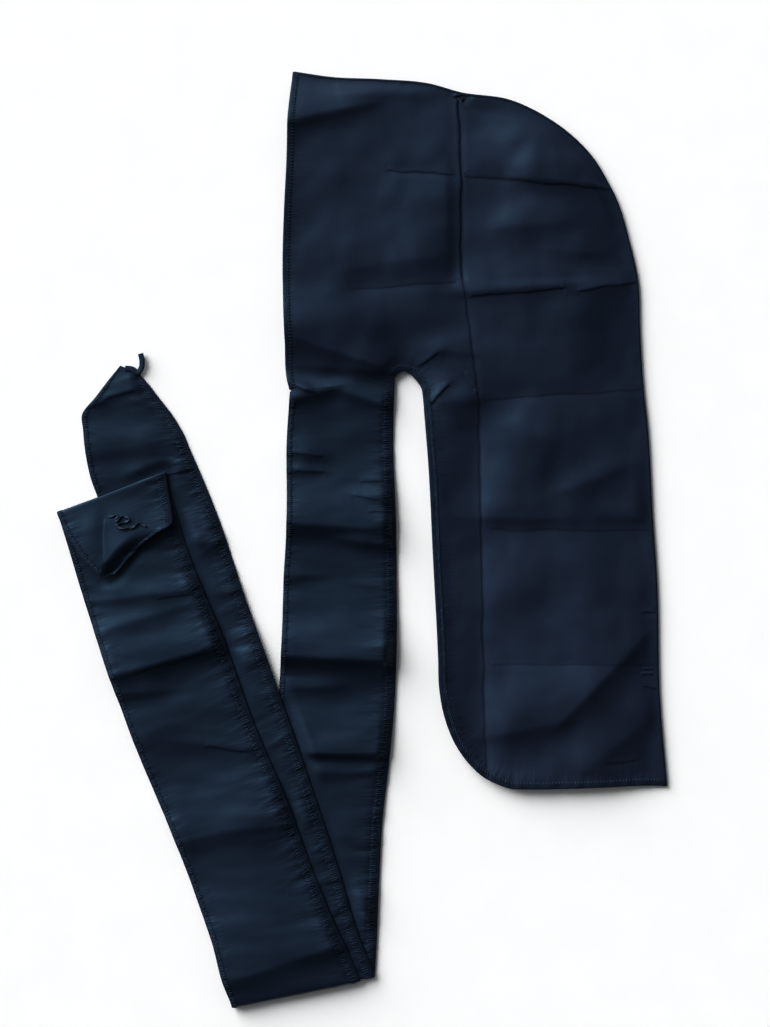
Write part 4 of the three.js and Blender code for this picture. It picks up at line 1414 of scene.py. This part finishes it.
# %% [markdown]
# ## Loose hem ends
# Where each hem runs off the end of a tie, its overlocked edge goes on as a short twisted tape.
# One stands off the near tie's tip as a hook, the other lies crumpled on the turned end. A tape
# is a flat oval carried along a smooth path, turning a little round it as it goes.


# %% Twisted tapes
tape_step = 0.5


def tape(name, points, width, thick, turns):
    """A flat oval carried along a path in space, turned about the path by a growing angle."""
    path = smooth_path(points, tape_step)
    heading = np.gradient(path, axis=0)
    heading /= np.linalg.norm(heading, axis=1)[:, None]
    flat_side = np.cross(heading, [0.0, 0.0, 1.0])
    flat_side /= np.linalg.norm(flat_side, axis=1)[:, None]
    upward = np.cross(flat_side, heading)
    angle = 2 * np.pi * turns * run_lengths(path) / run_lengths(path)[-1]
    across = flat_side * np.cos(angle)[:, None] + upward * np.sin(angle)[:, None]
    lift = upward * np.cos(angle)[:, None] - flat_side * np.sin(angle)[:, None]
    wide = (oval_inward - 0.5) * width
    rings = path[:, None] + across[:, None] * wide[:, None]
    rings = rings + lift[:, None] * (oval_height * thick)[:, None]
    return ring_piece(name, rings)


# Columns: x, y and height, millimetres of the drawing.
near_end_table = [
    [-122.0, 17.5, 1.3],
    [-117.0, 17.0, 1.6],
    [-112.4, 14.6, 1.9],
    [-109.6, 18.4, 2.2],
    [-109.3, 23.8, 2.5],
    [-110.4, 28.6, 2.3],
]
near_end = tape("near_tie_loose_end", near_end_table, width=4.4, thick=1.9, turns=0.08)

# Columns: along the turned end and across it, shares; height over the cloth, millimetres.
far_end_table = [
    [0.26, 0.42, 0.8],
    [0.29, 0.5, 1.2],
    [0.33, 0.47, 1.5],
    [0.31, 0.56, 1.2],
    [0.36, 0.6, 1.6],
    [0.39, 0.52, 1.2],
    [0.37, 0.46, 1.6],
    [0.42, 0.5, 1.9],
    [0.45, 0.6, 1.3],
    [0.43, 0.68, 1.6],
    [0.47, 0.74, 1.0],
]


def on_flap(table):
    """Points on the turned end from shares along and across it, at heights over its cloth."""
    rows = run_rows[turned_end]
    along, across, above = np.array(table).T
    row = rows[(along * (len(rows) - 1)).astype(int)]
    plane = row[:, 0] + across[:, None] * (row[:, 1] - row[:, 0])
    height = level_height(turned_end, plane, across)
    return np.column_stack([plane, height + above])


far_end = tape("far_tie_loose_end", on_flap(far_end_table), width=2.0, thick=0.7, turns=3.2)
print("tapes:", near_end.name, far_end.name)

# %% [markdown]
# ## Satin, hems and thread
# Satin has long floats of smooth yarn, so it is dark where it faces away from the light and has
# a soft sheen where it turns towards it. The weave itself is a fine bump of two crossed waves.
# Dye and yarn vary a little, which a slow noise gives to the colour and the roughness. Cloth and
# hems share one recipe with other numbers, and the thread has a twist instead of a weave. First
# come the small steps that the recipes share.


# %% Steps of a finish
def start_material(name):
    """A new material with its shader node and a helper that adds and links nodes."""
    material = bpy.data.materials.new(name)
    material.use_nodes = True
    tree = material.node_tree
    shader = tree.nodes["Principled BSDF"]

    def add(kind, inputs=(), **settings):
        node = tree.nodes.new(kind)
        for key, value in settings.items():
            setattr(node, key, value)
        for socket, value in dict(inputs).items():
            if isinstance(value, bpy.types.NodeSocket):
                tree.links.new(value, node.inputs[socket])
            else:
                node.inputs[socket].default_value = value
        return node

    return material, tree, shader, add


def ramp(add, value, stops):
    """A colour ramp through the given places and colours."""
    node = add("ShaderNodeValToRGB", {"Fac": value})
    elements = node.color_ramp.elements
    while len(elements) < len(stops):
        elements.new(0.5)
    for element, (place, colour) in zip(elements, stops):
        element.position = place
        element.color = (*colour, 1.0)
    return node.outputs["Color"]


def mottle(add, place, scale, detail=2.0):
    """Cloudy noise with about the given number of clouds to a metre."""
    inputs = {"Vector": place, "Scale": scale, "Detail": detail}
    return add("ShaderNodeTexNoise", inputs).outputs["Fac"]


def stripes(add, place, scale, direction, wander=0.0):
    """Even stripes that rise and fall as a sine wave."""
    inputs = {"Vector": place, "Scale": scale, "Distortion": wander}
    return add("ShaderNodeTexWave", inputs, bands_direction=direction).outputs["Fac"]


def spread(add, share, low, high):
    """A share from 0 to 1 spread evenly from low to high."""
    return add("ShaderNodeMapRange", {"Value": share, "To Min": low, "To Max": high}).outputs[0]


def math_node(add, operation, first, second=0.0):
    """One step of arithmetic on two numbers or sockets."""
    return add("ShaderNodeMath", {0: first, 1: second}, operation=operation).outputs[0]


def stored_marks(add, attribute):
    """The three numbers that each corner of the cloth's grid stores under a name."""
    stored = add("ShaderNodeAttribute", attribute_name=attribute)
    return add("ShaderNodeSeparateXYZ", {"Vector": stored.outputs["Vector"]}).outputs


# %% [markdown]
# ## Fine relief of the satin
# The yarn, the packing creases and the furrows beside a hem are finer than the cells of the
# cloth's grid, so the finish draws them as bumps over the folds that the mesh already has. Creases
# and furrows read the distances stored at the grid's corners, so each stays on its own fold.

# %% Yarn, creases and gathers
# Yarn: the warp's pitch as a share of the weft's, how far it wanders, and the depth in metres.
warp_share = 0.62
warp_wander = 0.6
yarn_depth = 0.0001
# Creases and gathers, in millimetres. Furrows change shape this much for each millimetre inwards.
crease_half_width = 0.8
gather_pitch = 2.8
gather_reach = 8.0
gather_depth = 2.0
furrow_change = 0.08


def woven_bump(add, place, fine, weave, strength):
    """Weft and warp as two crossed waves, plus the fine noise of slubs in the yarn."""
    weft = stripes(add, place, weave, "X")
    warp = stripes(add, place, weave * warp_share, "DIAGONAL", warp_wander)
    height = math_node(add, "ADD", math_node(add, "ADD", weft, warp), fine)
    inputs = {"Height": height, "Strength": strength, "Distance": yarn_depth}
    return add("ShaderNodeBump", inputs).outputs[0]


def crease_height(add):
    """Beside a crease: tanh(distance / half width) times the depth, a small smooth step."""
    marks = stored_marks(add, "crease")
    aside = math_node(add, "MULTIPLY", marks["X"], 1 / crease_half_width)
    return math_node(add, "MULTIPLY", math_node(add, "TANH", aside), marks["Y"])


def gather_height(add):
    """Beside a hem: noise that is quick along the hem and slow inwards, times the stored
    strength and e^(-inward / reach)."""
    marks = stored_marks(add, "gather")
    inward, along, strength = (marks[axis] for axis in "XYZ")
    fall = math_node(add, "MULTIPLY", inward, -1 / gather_reach)
    fade = math_node(add, "POWER", math.e, fall)
    place = add(
        "ShaderNodeCombineXYZ",
        {
            "X": math_node(add, "MULTIPLY", along, 1 / gather_pitch),
            "Y": math_node(add, "MULTIPLY", inward, furrow_change),
        },
    )
    furrows = mottle(add, place.outputs[0], scale=1.0, detail=1.0)
    held = math_node(add, "MULTIPLY", fade, strength)
    furrow = math_node(add, "MULTIPLY", furrows, held)
    return math_node(add, "MULTIPLY", furrow, gather_depth)


print("gathers, pitch and reach in mm:", gather_pitch, gather_reach)

# %% [markdown]
# ## The satins
# All four cloth finishes come from one dye bath, so they have nearly one colour. The hems and the
# seam are several layers thick and sewn through, so they are darker, rougher and less glossy. The
# ties turn and fold, so their weave follows their own map, and the rest follows the place.

# %% Satin of the panels, ties, hems and seam
# Clouds of dye and specks of yarn to a metre, how much the specks shade the colour, and how far
# the roughness goes below and above its usual number.
dye_clouds = 14.0
dye_detail = 3.0
dye_stops = (0.35, 0.65)
yarn_specks = 900.0
speck_shade = (0.82, 1.18)
roughness_below = 0.04
roughness_above = 0.06
sheen_roughness = 0.4
sheen_tint = (0.35, 0.5, 0.9, 1.0)
gloss_tint = (0.3, 0.7, 1.0, 1.0)


def satin_material(name, dark, light, roughness, weave, bump, sheen, gloss, coordinates):
    """Navy satin: mottled colour, uneven roughness, woven bump, creases and gathers."""
    material, tree, shader, add = start_material(name)
    place = add("ShaderNodeTexCoord").outputs[coordinates]
    slow = mottle(add, place, dye_clouds, dye_detail)
    fine = mottle(add, place, yarn_specks)
    tint = ramp(add, slow, list(zip(dye_stops, (dark, light))))
    shade = spread(add, fine, *speck_shade)
    colour = add("ShaderNodeVectorMath", {0: tint, "Scale": shade}, operation="SCALE")
    rough = spread(add, slow, roughness - roughness_below, roughness + roughness_above)
    yarn = woven_bump(add, place, fine, weave, bump)
    relief = math_node(add, "ADD", crease_height(add), gather_height(add))
    creased = add("ShaderNodeBump", {"Height": relief, "Distance": MM, "Normal": yarn})
    tree.links.new(colour.outputs[0], shader.inputs["Base Color"])
    tree.links.new(rough, shader.inputs["Roughness"])
    tree.links.new(creased.outputs[0], shader.inputs["Normal"])
    shader.inputs["Sheen Weight"].default_value = sheen
    shader.inputs["Sheen Roughness"].default_value = sheen_roughness
    shader.inputs["Sheen Tint"].default_value = sheen_tint
    shader.inputs["Specular IOR Level"].default_value = gloss
    shader.inputs["Specular Tint"].default_value = gloss_tint
    return material


satin_look = {"roughness": 0.42, "weave": 900.0, "bump": 0.12, "sheen": 0.05, "gloss": 0.3}
hem_look = {"roughness": 0.5, "weave": 600.0, "bump": 0.3, "sheen": 0.04, "gloss": 0.18}
seam_look = {"roughness": 0.46, "weave": 800.0, "bump": 0.2, "sheen": 0.04, "gloss": 0.16}
panel_satin = satin_material(
    "navy satin",
    (0.0148, 0.0207, 0.0385),
    (0.018, 0.0238, 0.0445),
    coordinates="Object",
    **satin_look,
)
tie_satin = satin_material(
    "navy tie satin",
    (0.0122, 0.0193, 0.035),
    (0.0148, 0.022, 0.0405),
    coordinates="UV",
    **satin_look,
)
hem_satin = satin_material(
    "navy hem", (0.0105, 0.016, 0.0285), (0.013, 0.019, 0.034), coordinates="Object", **hem_look
)
seam_satin = satin_material(
    "navy seam roll", (0.01, 0.015, 0.027), (0.013, 0.018, 0.032), coordinates="Object", **seam_look
)

print("satins:", [m.name for m in (panel_satin, tie_satin, hem_satin, seam_satin)])

# %% [markdown]
# ## Sewing thread
# The overlock thread is spun polyester, a little lighter than the satin, with its twist as a
# slanted wave. The crumpled loose end is tape of the same kind, but darker and greyer.

# %% Thread
# Twists and specks to a metre, the twist's depth in metres and its strength.
twist_pitch = 1600.0
thread_specks = 300.0
twist_depth = 0.00005
twist_strength = 0.4
thread_stops = (0.3, 0.7)
thread_shades = (0.6, 1.4)
thread_roughness = 0.45
thread_gloss = 0.3


def thread_material(name, colour):
    """Polyester thread: a fine twist as a slanted wave, and a soft gloss."""
    material, tree, shader, add = start_material(name)
    place = add("ShaderNodeTexCoord").outputs["Object"]
    twist = stripes(add, place, twist_pitch, "DIAGONAL")
    specks = mottle(add, place, thread_specks)
    shades = [tuple(share * part for part in colour) for share in thread_shades]
    tint = ramp(add, specks, list(zip(thread_stops, shades)))
    inputs = {"Height": twist, "Strength": twist_strength, "Distance": twist_depth}
    twisted = add("ShaderNodeBump", inputs).outputs[0]
    tree.links.new(tint, shader.inputs["Base Color"])
    tree.links.new(twisted, shader.inputs["Normal"])
    shader.inputs["Roughness"].default_value = thread_roughness
    shader.inputs["Specular IOR Level"].default_value = thread_gloss
    shader.inputs["Specular Tint"].default_value = gloss_tint
    return material


hem_thread = thread_material("navy thread", (0.03, 0.047, 0.078))
end_thread = thread_material("loose overlock thread", (0.024, 0.031, 0.052))
print("threads:", hem_thread.name, "and", end_thread.name)

# %% [markdown]
# ## What each piece stands for
# Every solid in the frame is replaced by the piece that shows it, and every piece moves with the
# one body.


# %% Finishes and roles
def finish_piece(piece, material, node=None):
    """Gives a piece its finish, moves it with the body and hides the solid it stands for."""
    piece.data.materials.clear()
    piece.data.materials.append(material)
    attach(piece, "root")
    if node:
        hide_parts(node)


finish_piece(near_side, panel_satin, "near_panel")
finish_piece(far_side, panel_satin, "far_panel")
finish_piece(seam_edge_piece, seam_satin, "crown_seam")
finish_piece(near_tie, tie_satin, "near_tie")
finish_piece(far_tie, tie_satin, "far_tie")
for node, band in hem_bands.items():
    finish_piece(band, hem_satin, node)
for row in stitching:
    finish_piece(row, hem_thread)
finish_piece(near_end, hem_satin, "near_tie_hem_end")
finish_piece(far_end, end_thread, "far_tie_hem_end")


# %% [markdown]
# ## Floor, light and camera
# The durag lies on a plain white table and is seen from straight above. A wide soft light above
# and to the upper left gives the short soft shadows at the right and lower edges, and lights
# the slopes that face it. The view is as wide as the picture's 770 points at 0.75 mm a point.

# %% Stage
picture_points = (770, 1027)
point_size = 0.75
camera_height = 2.0
sensor = 36.0
view_middle = (0.01706, 0.01845)
floor_size = 60.0
floor_drop = 0.0002
floor_clouds = 30.0
floor_stops = (0.3, 0.7)
floor_colours = ((0.945, 0.945, 0.945), (0.96, 0.96, 0.96))
floor_roughness = 0.8

bpy.ops.mesh.primitive_plane_add(size=floor_size, location=(*view_middle, -floor_drop))
floor = bpy.context.object
floor.name = "floor"
floor_material, floor_tree, floor_shader, floor_add = start_material("white table")
floor_place = floor_add("ShaderNodeTexCoord").outputs["Object"]
floor_noise = mottle(floor_add, floor_place, floor_clouds)
floor_colour = ramp(floor_add, floor_noise, list(zip(floor_stops, floor_colours)))
floor_tree.links.new(floor_colour, floor_shader.inputs["Base Color"])
floor_shader.inputs["Roughness"].default_value = floor_roughness
floor.data.materials.append(floor_material)
print("floor, metres across:", floor_size)

# %% Window and sky
window_from = Vector((-0.72, 0.69, 0.44))
window_spread = 50.0
window_energy = 5.5
sky_colour = (0.97, 0.985, 1.0, 1.0)
sky_from = Vector((-0.72, 0.69, -0.25))
sky_range = {"From Min": -0.5, "From Max": 0.95, "To Min": 0.06, "To Max": 1.12}

window_data = bpy.data.lights.new("window", "SUN")
window_data.angle = math.radians(window_spread)
window_data.energy = window_energy
window = bpy.data.objects.new("window", window_data)
window.rotation_euler = (-window_from).to_track_quat("-Z", "Y").to_euler()
window.location = window_from
bpy.context.scene.collection.objects.link(window)

# The sky is brightest towards the window and a little below it, and dark on the far side.
world = bpy.data.worlds.new("studio")
bpy.context.scene.world = world
world.use_nodes = True
sky = world.node_tree.nodes
background = sky["Background"]
background.inputs["Color"].default_value = sky_colour
sky_place = sky.new("ShaderNodeTexCoord")
towards = sky.new("ShaderNodeVectorMath")
towards.operation = "DOT_PRODUCT"
towards.inputs[1].default_value = sky_from.normalized()
brightness = sky.new("ShaderNodeMapRange")
brightness.interpolation_type = "SMOOTHSTEP"
for socket, value in sky_range.items():
    brightness.inputs[socket].default_value = value
for start, end in (
    (sky_place.outputs["Generated"], towards.inputs[0]),
    (towards.outputs["Value"], brightness.inputs["Value"]),
    (brightness.outputs["Result"], background.inputs["Strength"]),
):
    world.node_tree.links.new(start, end)
print("window at", [round(part, 2) for part in window_from], "energy", window_energy)

# %% Camera and view
camera_data = bpy.data.cameras.new("camera")
camera_data.type = "PERSP"
camera_data.sensor_width = sensor
camera_data.lens = sensor * camera_height / (picture_points[1] * point_size * MM)
camera = bpy.data.objects.new("camera", camera_data)
camera.location = (*view_middle, camera_height)
bpy.context.scene.collection.objects.link(camera)
bpy.context.scene.camera = camera
bpy.context.scene.view_settings.view_transform = "Standard"
bpy.context.scene.view_settings.gamma = 0.8
print("lens, mm:", round(camera_data.lens, 2))
